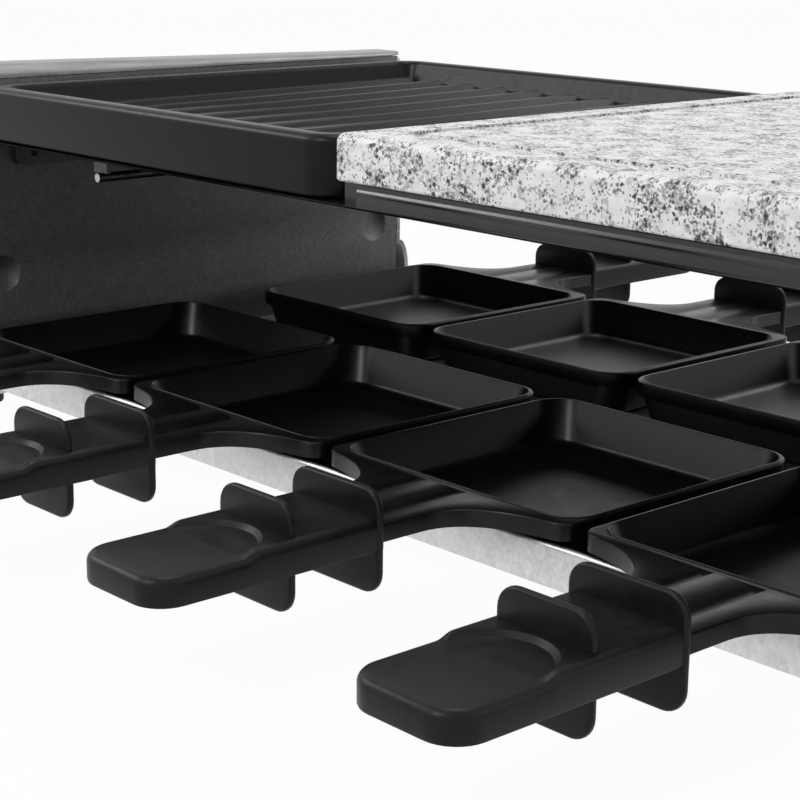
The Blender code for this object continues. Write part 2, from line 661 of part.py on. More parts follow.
def stone_plate():
    half_y = STONE_DEPTH / 2
    edges = [(STONE_BOTTOM_ROUND, stone_z), (0.0, stone_z + STONE_BOTTOM_ROUND)]
    for i in range(4):
        angle = pi / 2 * i / 3
        edges.append((STONE_TOP_ROUND * (1 - cos(angle)),
                      stone_top - STONE_TOP_ROUND * (1 - sin(angle))))
    rings = [plate_ring(half_y, STONE_CORNER, inset, z) for inset, z in edges]
    for i in range(5):
        angle = pi * i / 4
        rings.append(plate_ring(half_y, JUICE_GROOVE_IN + JUICE_GROOVE_CORNER,
                                JUICE_GROOVE_IN - JUICE_GROOVE_HALF * cos(angle),
                                stone_top - JUICE_GROOVE_DEPTH * sin(angle)))
    plate = loft("stone_plate", rings, granite)
    plate.location.x = stone_x


stone_plate()

# Inner end panels
# Galvanised sheet, with pressed dimples that meet the screw posts of the covers.
DIMPLE_IN = 0.0135           # from the edges of the panel
DIMPLE_Z = 0.0515
DIMPLE_RADIUS = 0.007
DIMPLE_FLOOR_RADIUS = 0.0045
DIMPLE_DEPTH = 0.0022
PANEL_CORNER = 0.003
BRACKET_SCREW_IN = 0.0285    # from the outside of the frame
BRACKET_SCREW_DROP = 0.0069  # below the underside of the frame
BRACKET_SCREW_HOLE = 0.0017
TERMINAL_HOLE = ELEMENT_RADIUS + GAP

panel_x = BAY_LENGTH / 2
dimple_y = PANEL_DEPTH / 2 - DIMPLE_IN
bracket_screw_y = FRAME_DEPTH / 2 - BRACKET_SCREW_IN
bracket_screw_z = FRAME_Z - BRACKET_SCREW_DROP
panel_out = panel_x + SHEET


def across(name, sign, profile, centre, look, steps=16):
    """A turned shape along X on the left (-1) or the right (1)."""
    return turned(name, [(radius, sign * x) for radius, x in profile], "X", centre, look, steps)


def inner_panel(name, sign):
    low_z = TRAY_FLOOR_Z + GAP
    middle = (COVER_TOP_Z + low_z) / 2
    outline = [(y, middle + z) for y, z in
               rounded_rect(PANEL_DEPTH / 2, (COVER_TOP_Z - low_z) / 2, PANEL_CORNER, 2)]
    panel = prism(name, outline, "X", sign * panel_x, sign * panel_out, galvanised)
    for side in (-1, 1):
        centre = (side * dimple_y, DIMPLE_Z)
        join_to(panel, across("boss", sign, (
            (DIMPLE_RADIUS + SHEET, panel_x + SHEET / 2), (DIMPLE_RADIUS + SHEET, panel_out),
            (DIMPLE_FLOOR_RADIUS + SHEET, panel_out + DIMPLE_DEPTH)), centre, galvanised))
        cut_from(panel, across("dimple", sign, (
            (DIMPLE_RADIUS, panel_x - OVERRUN), (DIMPLE_RADIUS, panel_x),
            (DIMPLE_FLOOR_RADIUS, panel_x + DIMPLE_DEPTH)), centre, galvanised))
        cut_from(panel, across("screw_hole", sign, (
            (BRACKET_SCREW_HOLE, panel_x - OVERRUN), (BRACKET_SCREW_HOLE, panel_out + OVERRUN)),
            (side * bracket_screw_y, bracket_screw_z), galvanised, 10))
        if sign > 0:
            cut_from(panel, across("terminal_hole", sign, (
                (TERMINAL_HOLE, panel_x - OVERRUN), (TERMINAL_HOLE, panel_out + OVERRUN)),
                (side * outer_run, element_z), galvanised))


inner_panel("left_inner_panel", -1)
inner_panel("right_inner_panel", 1)

# Frame brackets
# Black sheet angles on the inner panels; the ends of the frame lie on them.
BRACKET_END_IN = 0.0205      # ends of the bracket, from the outside of the frame
BRACKET_THICKNESS = 0.0015
BRACKET_LEG = 0.0090
BRACKET_HEIGHT = 0.0114
BRACKET_CORNER = 0.004
NOTCH_HALF = 0.004           # room for the ends of the element, to each side and below
SCREW_HEAD = 0.0028
SCREW_CROWN_SHARE = 0.6      # flat top of the head, of its radius
SCREW_HEAD_HEIGHT = 0.0016
SCREW_SHANK = 0.0014
SCREW_SHANK_LENGTH = 0.007
SCREW_SLOT = 0.0008
SCREW_SLOT_DEPTH = 0.0007


def screw(name, sign, head_x, outward, centre, shank):
    """A round-headed screw along X; outward is the way its head faces."""
    top = head_x + outward * SCREW_HEAD_HEIGHT
    made = turned(name, (
        (SCREW_HEAD * SCREW_CROWN_SHARE, sign * top),
        (SCREW_HEAD, sign * (head_x + top) / 2),
        (SCREW_HEAD, sign * head_x), (SCREW_SHANK, sign * head_x),
        (SCREW_SHANK, sign * (head_x - outward * shank))), "X", centre, zinc, 12)
    low_x, high_x = sorted((sign * (top - outward * SCREW_SLOT_DEPTH), sign * (top + outward * OVERRUN)))
    cut_from(made, block("slot", (low_x, centre[0] - SCREW_SLOT / 2, centre[1] - SCREW_HEAD),
                         (high_x, centre[0] + SCREW_SLOT / 2, centre[1] + SCREW_HEAD), zinc))


def frame_bracket(name, sign):
    face = panel_x - GAP
    top = FRAME_Z - GAP
    bottom = top - BRACKET_HEIGHT
    half = FRAME_DEPTH / 2 - BRACKET_END_IN
    outline = [(half, top), (-half, top)]
    outline += quarter(-half + BRACKET_CORNER, bottom + BRACKET_CORNER, BRACKET_CORNER, 2, 3)
    outline += quarter(half - BRACKET_CORNER, bottom + BRACKET_CORNER, BRACKET_CORNER, 3, 3)
    bracket = prism(name, outline, "X", sign * face, sign * (face - BRACKET_THICKNESS), enamel)
    low_x, high_x = sorted((sign * face, sign * (face - BRACKET_LEG)))
    join_to(bracket, block("ledge", (low_x, -half, top - BRACKET_THICKNESS),
                           (high_x, half, top), enamel))
    if sign > 0:
        for y in (-outer_run, outer_run):
            cut_from(bracket, block("tail_notch", (low_x - OVERRUN, y - NOTCH_HALF, element_z - NOTCH_HALF),
                                    (high_x + OVERRUN, y + NOTCH_HALF, top + OVERRUN), enamel))
    head_x = face - BRACKET_THICKNESS - GAP
    for end, side in (("front", -1), ("back", 1)):
        centre = (side * bracket_screw_y, bracket_screw_z)
        cut_from(bracket, across("screw_hole", sign, (
            (BRACKET_SCREW_HOLE, face - BRACKET_THICKNESS - OVERRUN),
            (BRACKET_SCREW_HOLE, face + OVERRUN)), centre, enamel, 10))
        screw(f"{name}_screw_{end}", sign, head_x, -1, centre, SCREW_SHANK_LENGTH)


frame_bracket("left_frame_bracket", -1)
frame_bracket("right_frame_bracket", 1)

# End covers
# Brushed steel shells that flare out to the width of the tray at their feet.
# Moulded posts inside reach the dimples of the panels.
COVER_WALL = 0.002
COVER_CORNER = 0.004
COVER_FLARE_TOP_Z = 0.0428
COVER_FLARE_HEIGHT = 0.0145
COVER_FLARE_STEPS = 4
COVER_EDGE = 0.0016
FOOT_HEIGHT = 0.004
FOOT_RADIUS = 0.0065
FOOT_INSET_Y = 0.018
FOOT_CHAMFER = 0.0008
POST_RADIUS = 0.0045
POST_HOLE = 0.0018
POST_HOLE_DEPTH = 0.011

cover_in = panel_out + GAP
cover_out = panel_out + COVER_WIDTH
cover_bottom = FOOT_HEIGHT + GAP


def cover_outline(inset):
    """Side view of the cover: straight sides, a quarter bulge and a square foot."""
    upper = COVER_DEPTH / 2 - inset
    lower = COVER_FOOT_DEPTH / 2 - inset
    top = COVER_TOP_Z - inset
    corner = COVER_CORNER - inset / 2
    side = [(lower - corner / 2, cover_bottom + inset), (lower, cover_bottom + inset + corner / 2)]
    for i in range(COVER_FLARE_STEPS + 1):
        angle = pi / 2 * i / COVER_FLARE_STEPS
        side.append((upper + (lower - upper) * cos(angle),
                     COVER_FLARE_TOP_Z - COVER_FLARE_HEIGHT * (1 - sin(angle))))
    for i in range(3):
        angle = pi / 4 * i
        side.append((upper - corner * (1 - cos(angle)), top - corner * (1 - sin(angle))))
    return side + [(-y, z) for y, z in reversed(side)]


def end_cover(name, sign):
    steps = (
        (cover_out - COVER_WALL, COVER_WALL), (cover_in, COVER_WALL), (cover_in, 0.0),
        (cover_out - COVER_EDGE, 0.0),
        (cover_out - COVER_EDGE * (1 - sin(pi / 4)), COVER_EDGE * (1 - cos(pi / 4))),
        (cover_out, COVER_EDGE),
    )
    cover = loft(name, [[(sign * x, y, z) for y, z in cover_outline(inset)] for x, inset in steps],
                 brushed)
    for end, side in (("front", -1), ("back", 1)):
        centre = (side * dimple_y, DIMPLE_Z)
        join_to(cover, across("post", sign, (
            (POST_RADIUS, panel_out + DIMPLE_DEPTH + GAP), (POST_RADIUS, cover_out - COVER_WALL / 2)),
            centre, brushed, 12))
        cut_from(cover, across("post_hole", sign, (
            (POST_HOLE, cover_out - POST_HOLE_DEPTH), (POST_HOLE, cover_out + OVERRUN)),
            centre, brushed, 10))
        screw(f"{name}_screw_{end}", sign, cover_out + GAP, 1, centre, POST_HOLE_DEPTH - OVERRUN)
        foot_y = side * (COVER_FOOT_DEPTH / 2 - FOOT_INSET_Y)
        turned(f"{name.split('_')[0]}_{end}_foot", (
            (FOOT_RADIUS - FOOT_CHAMFER, 0.0), (FOOT_RADIUS, FOOT_CHAMFER),
            (FOOT_RADIUS, FOOT_HEIGHT)), "Z", (sign * (cover_in + cover_out) / 2, foot_y), rubber)
    return cover


left_cover = end_cover("left_end_cover", -1)
right_cover = end_cover("right_end_cover", 1)

# Top trims
# Brushed bars along the top of both ends. They are highest in front, and their
# backs bow down to the end.
TRIM_HEIGHT = 0.0052         # at the front end
TRIM_FALL = 0.0016           # even fall from the front to the back
TRIM_BOW = 0.0020            # further fall of the back end
TRIM_BOW_START = 0.020       # behind the middle
TRIM_SETBACK = 0.0006        # behind the end cover
TRIM_CORNER = 0.0045
TRIM_ROUND = 0.0014
TRIM_STEPS = 8

trim_z = COVER_TOP_Z + GAP
trim_half_x = (COVER_WIDTH + SHEET) / 2
trim_half_y = COVER_DEPTH / 2 - TRIM_SETBACK


def trim_section(sign, y, narrow):
    """Section of the trim at a distance along it, narrower near both ends."""
    past = max(0.0, (y - TRIM_BOW_START) / (trim_half_y - TRIM_BOW_START))
    fall = TRIM_FALL * (y + trim_half_y) / (2 * trim_half_y) + TRIM_BOW * past ** 2
    top = trim_z + TRIM_HEIGHT - fall - narrow * TRIM_ROUND / TRIM_CORNER / 2
    half = trim_half_x - narrow
    edge = min(TRIM_ROUND, (top - trim_z) / 2)
    side = [(half, trim_z)]
    for i in range(3):
        angle = pi / 4 * i
        side.append((half - edge * (1 - cos(angle)), top - edge * (1 - sin(angle))))
    middle = sign * (cover_out + panel_x) / 2
    return [(middle + x, y, z) for x, z in side + [(-x, z) for x, z in reversed(side)]]


for name, sign in (("left_top_trim", -1), ("right_top_trim", 1)):
    ends = [(trim_half_y - TRIM_CORNER * (1 - sin(pi / 2 * i / 3)),
             TRIM_CORNER * (1 - cos(pi / 2 * i / 3))) for i in range(3, -1, -1)]
    straight = trim_half_y - TRIM_CORNER
    stations = [(-y, narrow) for y, narrow in ends]
    stations += [(straight * (2 * i / TRIM_STEPS - 1), 0.0) for i in range(1, TRIM_STEPS)]
    stations += reversed(ends)
    loft(name, [trim_section(sign, y, narrow) for y, narrow in stations], brushed)

# Carrying handles
# Black plastic bows on the outside of both covers.
GRIP_HALF = 0.055
GRIP_REACH = 0.0265          # from the cover to the outside of the bow
GRIP_THICKNESS = 0.011
GRIP_FOOT = 0.014
GRIP_HEIGHT = 0.016
GRIP_DROP = 0.0254           # middle of the grip below the top of the cover
GRIP_CORNER = 0.013
GRIP_EDGE = 0.0022


def carrying_handle(name, sign):
    """A bow in plan: two feet on the cover joined by a rounded grip."""
    near = cover_out + GAP
    far = near + GRIP_REACH
    inner_far = far - GRIP_THICKNESS
    inner_half = GRIP_HALF - GRIP_FOOT
    inner_corner = GRIP_CORNER / 2
    middle = COVER_TOP_Z - GRIP_DROP

    def corner(x, y, radius, start):
        return [(x + radius * cos(start + pi / 2 * i / 4), y + radius * sin(start + pi / 2 * i / 4))
                for i in range(5)]
    outline = [(near, -GRIP_HALF)]
    outline += corner(far - GRIP_CORNER, -GRIP_HALF + GRIP_CORNER, GRIP_CORNER, -pi / 2)
    outline += corner(far - GRIP_CORNER, GRIP_HALF - GRIP_CORNER, GRIP_CORNER, 0)
    outline += [(near, GRIP_HALF), (near, inner_half)]
    outline += corner(inner_far - inner_corner, inner_half - inner_corner, inner_corner, 0)[::-1]
    outline += corner(inner_far - inner_corner, -inner_half + inner_corner, inner_corner,
                      -pi / 2)[::-1]
    outline.append((near, -inner_half))
    handle = prism(name, [(sign * x, y) for x, y in outline], "Z", middle - GRIP_HEIGHT / 2,
                   middle + GRIP_HEIGHT / 2, plastic)
    edge = handle.modifiers.new("rounded_edges", "BEVEL")
    edge.width = GRIP_EDGE
    edge.segments = 2
    edge.limit_method = "ANGLE"
    edge.angle_limit = radians(50)


carrying_handle("left_carrying_handle", -1)
carrying_handle("right_carrying_handle", 1)

# Control, lamp and inlet in the right end cover
KNOB_IN = 0.0512             # from the front of the cover
KNOB_Z = 0.055
KNOB_RADIUS = 0.018
KNOB_SKIRT = 0.004
KNOB_HEIGHT = 0.0155
KNOB_GRIP_HALF = 0.0042
KNOB_GRIP_ROUND_SHARE = 0.9  # end radius of the grip, of its half width
KNOB_BORE_DEPTH = 0.011
KNOB_CHAMFER = 0.0012
SHAFT_RADIUS = 0.003
SHAFT_ROOM = 0.0005          # between the shaft and the hole in the cover
THERMOSTAT_HALF = 0.015
THERMOSTAT_DEPTH = 0.0118
THERMOSTAT_EDGE = 0.001
LAMP_FROM_KNOB = 0.038
LAMP_RADIUS = 0.0032
LAMP_RISE = 0.0015
LAMP_TAIL = 0.008
BLOCK_FROM_GLAND = 0.035
BLOCK_Z = 0.060
BLOCK_HALF_Y = 0.015
BLOCK_HALF_Z = 0.008
BLOCK_DEPTH = 0.0100
BLOCK_POLES = 3
BLOCK_POLE_RADIUS = 0.0022
BLOCK_POLE_DEPTH = 0.002
GLAND_IN = 0.0312            # from the back of the cover
GLAND_Z = 0.030
GLAND_NECK = 0.0052
GLAND_FLANGE = 0.0078
GLAND_BORE = 0.0036
GLAND_FLANGE_HEIGHT = 0.0025
GLAND_NOSE = 0.008

wall_in = cover_out - COVER_WALL
knob_y = KNOB_IN - COVER_DEPTH / 2
lamp_y = knob_y + LAMP_FROM_KNOB
gland_y = COVER_DEPTH / 2 - GLAND_IN
block_y = gland_y - BLOCK_FROM_GLAND
knob_low = cover_out + 2 * GAP
shaft_low = wall_in - SHEET
bore_end = knob_low + KNOB_BORE_DEPTH

for hole_name, radius, centre in (("shaft_hole", SHAFT_RADIUS + SHAFT_ROOM, (knob_y, KNOB_Z)),
                                  ("lamp_hole", LAMP_RADIUS + GAP, (lamp_y, KNOB_Z)),
                                  ("gland_hole", GLAND_NECK + GAP, (gland_y, GLAND_Z))):
    cut_from(right_cover, across(hole_name, 1, ((radius, wall_in - OVERRUN),
                                                (radius, cover_out + OVERRUN)), centre, brushed))

thermostat_low = shaft_low - GAP - THERMOSTAT_DEPTH
thermostat = block("thermostat_body",
                   (thermostat_low, knob_y - THERMOSTAT_HALF, KNOB_Z - THERMOSTAT_HALF),
                   (shaft_low - GAP, knob_y + THERMOSTAT_HALF, KNOB_Z + THERMOSTAT_HALF), plastic)
collar_radius = SHAFT_RADIUS * 2
join_to(thermostat, across("collar", 1, ((collar_radius, shaft_low - 2 * GAP),
                                         (collar_radius, wall_in - GAP)), (knob_y, KNOB_Z), plastic))
cut_from(thermostat, across("collar_bore", 1, ((SHAFT_RADIUS + GAP, shaft_low - GAP),
                                               (SHAFT_RADIUS + GAP, wall_in + OVERRUN)),
                            (knob_y, KNOB_Z), plastic))

shaft = across("thermostat_shaft", 1, ((SHAFT_RADIUS, 0.0), (SHAFT_RADIUS, bore_end - GAP - shaft_low)),
               (0, 0), zinc)
shaft.location = (shaft_low, knob_y, KNOB_Z)

knob = across("control_knob", 1, (
    (KNOB_RADIUS, 0.0), (KNOB_RADIUS, KNOB_SKIRT - KNOB_CHAMFER),
    (KNOB_RADIUS - KNOB_CHAMFER, KNOB_SKIRT)), (0, 0), plastic, 32)
grip_length = KNOB_RADIUS - KNOB_CHAMFER
grip_round = KNOB_GRIP_HALF * KNOB_GRIP_ROUND_SHARE
grip = prism("grip", rounded_rect(KNOB_GRIP_HALF, grip_length, grip_round, 3), "X",
             KNOB_SKIRT - KNOB_CHAMFER, KNOB_HEIGHT, plastic)
join_to(knob, grip)
cut_from(knob, across("bore", 1, ((SHAFT_RADIUS + GAP, -OVERRUN),
                                  (SHAFT_RADIUS + GAP, KNOB_BORE_DEPTH)), (0, 0), plastic))
knob.location = (knob_low, knob_y, KNOB_Z)

across("pilot_lamp_lens", 1, ((LAMP_RADIUS, wall_in - LAMP_TAIL), (LAMP_RADIUS, cover_out + GAP),
                              (LAMP_RADIUS * cos(pi / 4), cover_out + LAMP_RISE)),
       (lamp_y, KNOB_Z), lamp_lens)

terminals = block("terminal_block",
                  (wall_in - GAP - BLOCK_DEPTH, block_y - BLOCK_HALF_Y, BLOCK_Z - BLOCK_HALF_Z),
                  (wall_in - GAP, block_y + BLOCK_HALF_Y, BLOCK_Z + BLOCK_HALF_Z), plastic)
pole_x = wall_in - GAP - BLOCK_DEPTH
for pole in range(BLOCK_POLES):
    y = block_y + (pole - (BLOCK_POLES - 1) / 2) * 2 * BLOCK_HALF_Y / BLOCK_POLES
    cut_from(terminals, across("pole", 1, ((BLOCK_POLE_RADIUS, pole_x - OVERRUN),
                                           (BLOCK_POLE_RADIUS, pole_x + BLOCK_POLE_DEPTH)),
                               (y, BLOCK_Z), plastic, 10))

gland_low = wall_in - OVERRUN
turned("cord_gland", (
    (GLAND_BORE, gland_low), (GLAND_NECK, gland_low), (GLAND_NECK, cover_out + GAP),
    (GLAND_FLANGE, cover_out + GAP), (GLAND_FLANGE, cover_out + GLAND_FLANGE_HEIGHT),
    (GLAND_NECK, cover_out + GLAND_NOSE), (GLAND_BORE, cover_out + GLAND_NOSE)),
    "X", (gland_y, GLAND_Z), plastic, 16, closed=True)
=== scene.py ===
from math import cos, pi, radians, sin

import bmesh
import bpy
from mathutils import Matrix, Vector


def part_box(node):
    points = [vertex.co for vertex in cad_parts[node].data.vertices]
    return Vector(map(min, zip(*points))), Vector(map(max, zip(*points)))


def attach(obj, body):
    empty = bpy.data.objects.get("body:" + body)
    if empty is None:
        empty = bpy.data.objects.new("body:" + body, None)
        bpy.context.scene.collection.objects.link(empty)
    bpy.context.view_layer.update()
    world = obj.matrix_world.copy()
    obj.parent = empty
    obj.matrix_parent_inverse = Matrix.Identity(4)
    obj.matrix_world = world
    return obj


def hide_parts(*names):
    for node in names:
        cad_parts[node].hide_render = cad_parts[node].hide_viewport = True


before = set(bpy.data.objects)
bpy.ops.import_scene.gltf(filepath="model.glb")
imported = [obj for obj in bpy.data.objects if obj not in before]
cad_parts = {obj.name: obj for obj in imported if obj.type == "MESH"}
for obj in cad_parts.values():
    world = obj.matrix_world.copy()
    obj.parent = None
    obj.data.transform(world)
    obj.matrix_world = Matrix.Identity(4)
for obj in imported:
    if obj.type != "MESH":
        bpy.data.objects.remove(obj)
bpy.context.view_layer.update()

# Base tray
# Galvanised steel sheet, 1 mm. Its front and back edges are folded up and hemmed, which
# gives the round top edge that catches the light; both ends are riveted to the panels.
HAIR = 1e-5


def linear(hex_colour):
    """An sRGB hex colour as linear values."""
    values = [int(hex_colour[i:i + 2], 16) / 255 for i in (1, 3, 5)]
    return (*[v / 12.92 if v <= 0.04045 else ((v + 0.055) / 1.055) ** 2.4 for v in values], 1.0)


def add_node(tree, kind, inputs, output=0, **settings):
    """Add a shader node. An input is a value or another node's output; gives one of its outputs."""
    made = tree.nodes.new("ShaderNode" + kind)
    for name, value in settings.items():
        setattr(made, name, value)
    for socket, value in inputs.items():
        if isinstance(value, bpy.types.NodeSocket):
            tree.links.new(value, made.inputs[socket])
        else:
            made.inputs[socket].default_value = value
    return made.outputs[output]


def finish_of(name, dark, light, roughness, patch_mm, grain_mm, depth_mm, stretch=(1, 1, 1),
              **sockets):
    """A surface whose tone and gloss drift over patches, under a fine grain; all sizes in mm."""
    made = bpy.data.materials.new(name)
    made.use_nodes = True
    tree = made.node_tree
    shader = tree.nodes["Principled BSDF"]
    for socket, value in sockets.items():
        shader.inputs[socket.replace("_", " ")].default_value = value
    mm = add_node(tree, "Mapping", {"Vector": add_node(tree, "TexCoord", {}, "Object"),
                                    "Scale": (1000, 1000, 1000)})
    run = add_node(tree, "Mapping", {"Vector": mm, "Scale": stretch})
    patch = add_node(tree, "TexNoise", {"Vector": run, "Scale": 1 / patch_mm, "Detail": 5,
                                        "Roughness": 0.62})
    grain = add_node(tree, "TexNoise", {"Vector": run, "Scale": 1 / grain_mm, "Detail": 3,
                                        "Roughness": 0.6})
    tone = add_node(tree, "MapRange", {"Value": patch, "From Min": 0.36, "From Max": 0.66})
    colour = add_node(tree, "Mix", {0: tone, 6: linear(dark), 7: linear(light)}, 2,
                      data_type="RGBA")
    gloss = add_node(tree, "MapRange", {"Value": patch, "From Min": 0.3, "From Max": 0.7,
                                        "To Min": roughness[0], "To Max": roughness[1]})
    bump = add_node(tree, "Bump", {"Height": grain, "Distance": depth_mm / 1000})
    tree.links.new(colour, shader.inputs["Base Color"])
    tree.links.new(gloss, shader.inputs["Roughness"])
    tree.links.new(bump, shader.inputs["Normal"])
    return made, tree, shader, mm, colour


def galvanised(name, dark, light, roughness):
    """Hot-dip zinc: crystals a few millimetres wide, dull and uneven, over a fine grain."""
    made, tree, shader, mm, colour = finish_of(name, dark, light, roughness, 1.6, 0.7, 0.02,
                                               Metallic=1.0)
    crystal = add_node(tree, "TexVoronoi", {"Vector": mm, "Scale": 1 / 4}, "Color")
    tone = add_node(tree, "SeparateColor", {0: crystal})
    tint = add_node(tree, "Mix", {0: tone, 6: linear("#f2f2f2"), 7: linear("#ffffff")}, 2,
                    data_type="RGBA")
    both = add_node(tree, "Mix", {0: 1.0, 6: colour, 7: tint}, 2, data_type="RGBA",
                    blend_type="MULTIPLY")
    tree.links.new(both, shader.inputs["Base Color"])
    return made


def settle(name):
    """Put the new primitive's place and size into its mesh, and name it."""
    bpy.ops.object.transform_apply(location=True, rotation=True, scale=True)
    made = bpy.context.object
    made.name = made.data.name = name
    return made


def new_cube(name, low, high):
    bpy.ops.object.select_all(action="DESELECT")
    bpy.ops.mesh.primitive_cube_add(size=1, location=[(a + b) / 2 for a, b in zip(low, high)],
                                    scale=[b - a for a, b in zip(low, high)])
    return settle(name)


def edit(piece):
    bpy.ops.object.select_all(action="DESELECT")
    bpy.context.view_layer.objects.active = piece
    piece.select_set(True)
    bpy.ops.object.mode_set(mode="EDIT")


def leave():
    bpy.ops.object.mode_set(mode="OBJECT")


def pick(kind, test):
    """Select the faces, edges or vertices that pass a test of the item and its middle."""
    bpy.ops.mesh.select_mode(type=kind)
    bpy.ops.mesh.select_all(action="DESELECT")
    mesh = bmesh.from_edit_mesh(bpy.context.object.data)
    for item in {"FACE": mesh.faces, "EDGE": mesh.edges, "VERT": mesh.verts}[kind]:
        corners = [item] if kind == "VERT" else item.verts
        middle = sum((vert.co for vert in corners), Vector()) / len(corners)
        if test(item, middle):
            item.select_set(True)
    bmesh.update_edit_mesh(bpy.context.object.data)


def along(edge, axis):
    """Whether an edge runs along an axis."""
    run = (edge.verts[1].co - edge.verts[0].co).normalized()
    return abs(run["XYZ".index(axis)]) > 0.999


def level(edge, z):
    """Whether an edge lies flat at a height."""
    return all(abs(vert.co.z - z) < HAIR for vert in edge.verts)


def bevel(width, segments):
    bpy.ops.mesh.bevel(offset=width, segments=segments, affect="EDGES", clamp_overlap=True)


def extrude(x=0.0, y=0.0, z=0.0):
    bpy.ops.mesh.extrude_region_move(TRANSFORM_OT_translate={"value": (x, y, z)})


def cut_at(z=None, y=None, x=None):
    """Cut the whole mesh through with a level or an upright plane."""
    bpy.ops.mesh.select_all(action="SELECT")
    bpy.ops.mesh.bisect(plane_co=(x or 0, y or 0, z or 0),
                        plane_no=(x is not None, y is not None, z is not None))


def dress(piece, material, body, slot, *stands_for, angle=32):
    """Shade the piece, give it its material and its body, and hide the solids it stands for."""
    bpy.ops.object.select_all(action="DESELECT")
    bpy.context.view_layer.objects.active = piece
    piece.select_set(True)
    bpy.ops.object.shade_smooth_by_angle(angle=radians(angle))
    piece.data.materials.clear()
    piece.data.materials.append(material)
    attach(piece, body)
    if stands_for:
        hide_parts(*stands_for)


# Bright zinc gives a pale, cloudy sheet with faint crystals and a soft shine.
tray_zinc = galvanised("galvanised_tray_sheet", "#cfcfcf", "#e4e4e4", (0.36, 0.46))

SHEET = 0.001
LIP_THICKNESS = 0.0022
TRAY_FLOOR = 0.0177
tray_low, tray_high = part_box("base_tray")
lip_inner = tray_high.y - LIP_THICKNESS
tray = new_cube("tray_sheet", tray_low, (tray_high.x, tray_high.y, TRAY_FLOOR))
edit(tray)
cut_at(y=lip_inner)
cut_at(y=-lip_inner)
pick("FACE", lambda face, at: face.normal.z > 0.9 and abs(at.y) > lip_inner)
extrude(z=tray_high.z - TRAY_FLOOR)
pick("EDGE", lambda edge, at: along(edge, "X") and level(edge, tray_high.z))
bevel(LIP_THICKNESS / 2 - HAIR, 6)
pick("FACE", lambda face, at: face.normal.z < -0.9 and abs(at.y) < lip_inner)
extrude(z=TRAY_FLOOR - SHEET - tray_low.z)
pick("EDGE", lambda edge, at: along(edge, "X") and level(edge, tray_low.z)
     and abs(at.y) > tray_high.y - HAIR)
bevel(SHEET / 2, 3)
leave()
dress(tray, tray_zinc, "base", "galvanised_sheet", "base_tray")

# Feet
# Black rubber buttons pressed into the bottom edges of the covers. They are moulded, with
# an eased lower edge.
FOOT_EDGE = 0.0012


def new_cylinder(name, axis, centre, radius, low, high, sides=32):
    """A cylinder along an axis between two levels; centre gives the two other axes in order."""
    at = list(centre)
    at.insert("XYZ".index(axis), (low + high) / 2)
    turn = {"X": (0, pi / 2, 0), "Y": (pi / 2, 0, 0), "Z": (0, 0, 0)}[axis]
    bpy.ops.object.select_all(action="DESELECT")
    bpy.ops.mesh.primitive_cylinder_add(vertices=sides, radius=radius, depth=abs(high - low),
                                        location=at, rotation=turn)
    return settle(name)


# Carbon-filled rubber gives a dull, soft black.
foot_rubber = finish_of("black_rubber", "#161616", "#202020", (0.7, 0.8), 3, 0.6, 0.02)[0]

for foot in [f"{side}_{end}_foot" for side in ("left", "right") for end in ("front", "back")]:
    low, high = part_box(foot)
    button = new_cylinder(foot + "_button", "Z", ((low.x + high.x) / 2, (low.y + high.y) / 2),
                          (high.x - low.x) / 2, low.z, high.z, 40)
    edit(button)
    pick("EDGE", lambda edge, at: level(edge, low.z))
    bevel(FOOT_EDGE, 4)
    leave()
    dress(button, foot_rubber, "base", "foot_rubber", foot)

# Inner end panels
# The same galvanised sheet, drawn darker than the tray as painted shade where the panels
# stand in shadow under the plates. Each has two round dimples, pressed outwards, where the
# screws of the end cover find their seat.
MIRROR_X = Matrix.Diagonal((-1, 1, 1, 1))
DIMPLE_AT = (0.0941, 0.0515)
DIMPLE_RADIUS = 0.0072
DIMPLE_DEPTH = 0.0022
DIMPLE_EDGE = 0.0005


def new_ball(name, centre, radius):
    bpy.ops.object.select_all(action="DESELECT")
    bpy.ops.mesh.primitive_uv_sphere_add(segments=64, ring_count=32, radius=radius, location=centre,
                                         rotation=(0, pi / 2, 0))
    return settle(name)


def combine(piece, tool, operation):
    """Union or difference with a tool, which is used up."""
    bpy.ops.object.select_all(action="DESELECT")
    bpy.context.view_layer.objects.active = piece
    piece.select_set(True)
    step = piece.modifiers.new("step", "BOOLEAN")
    step.operation = operation
    step.solver = "EXACT"
    step.object = tool
    bpy.ops.object.modifier_apply(modifier=step.name)
    bpy.data.objects.remove(tool, do_unlink=True)


def copy_of(piece, name, matrix):
    """A copy with its own mesh, moved there by a matrix."""
    made = piece.copy()
    made.data = piece.data.copy()
    made.name = made.data.name = name
    bpy.context.scene.collection.objects.link(made)
    made.data.transform(matrix)
    if matrix.determinant() < 0:
        made.data.flip_normals()
    return made


# Painted shade: the panels' zinc is drawn dark grey, darker than the tray's, for the shadow they
# stand in; it has little shine.
shaded_panel_zinc = galvanised("galvanised_sheet_painted_shade", "#686868", "#7c7c7c", (0.52, 0.62))

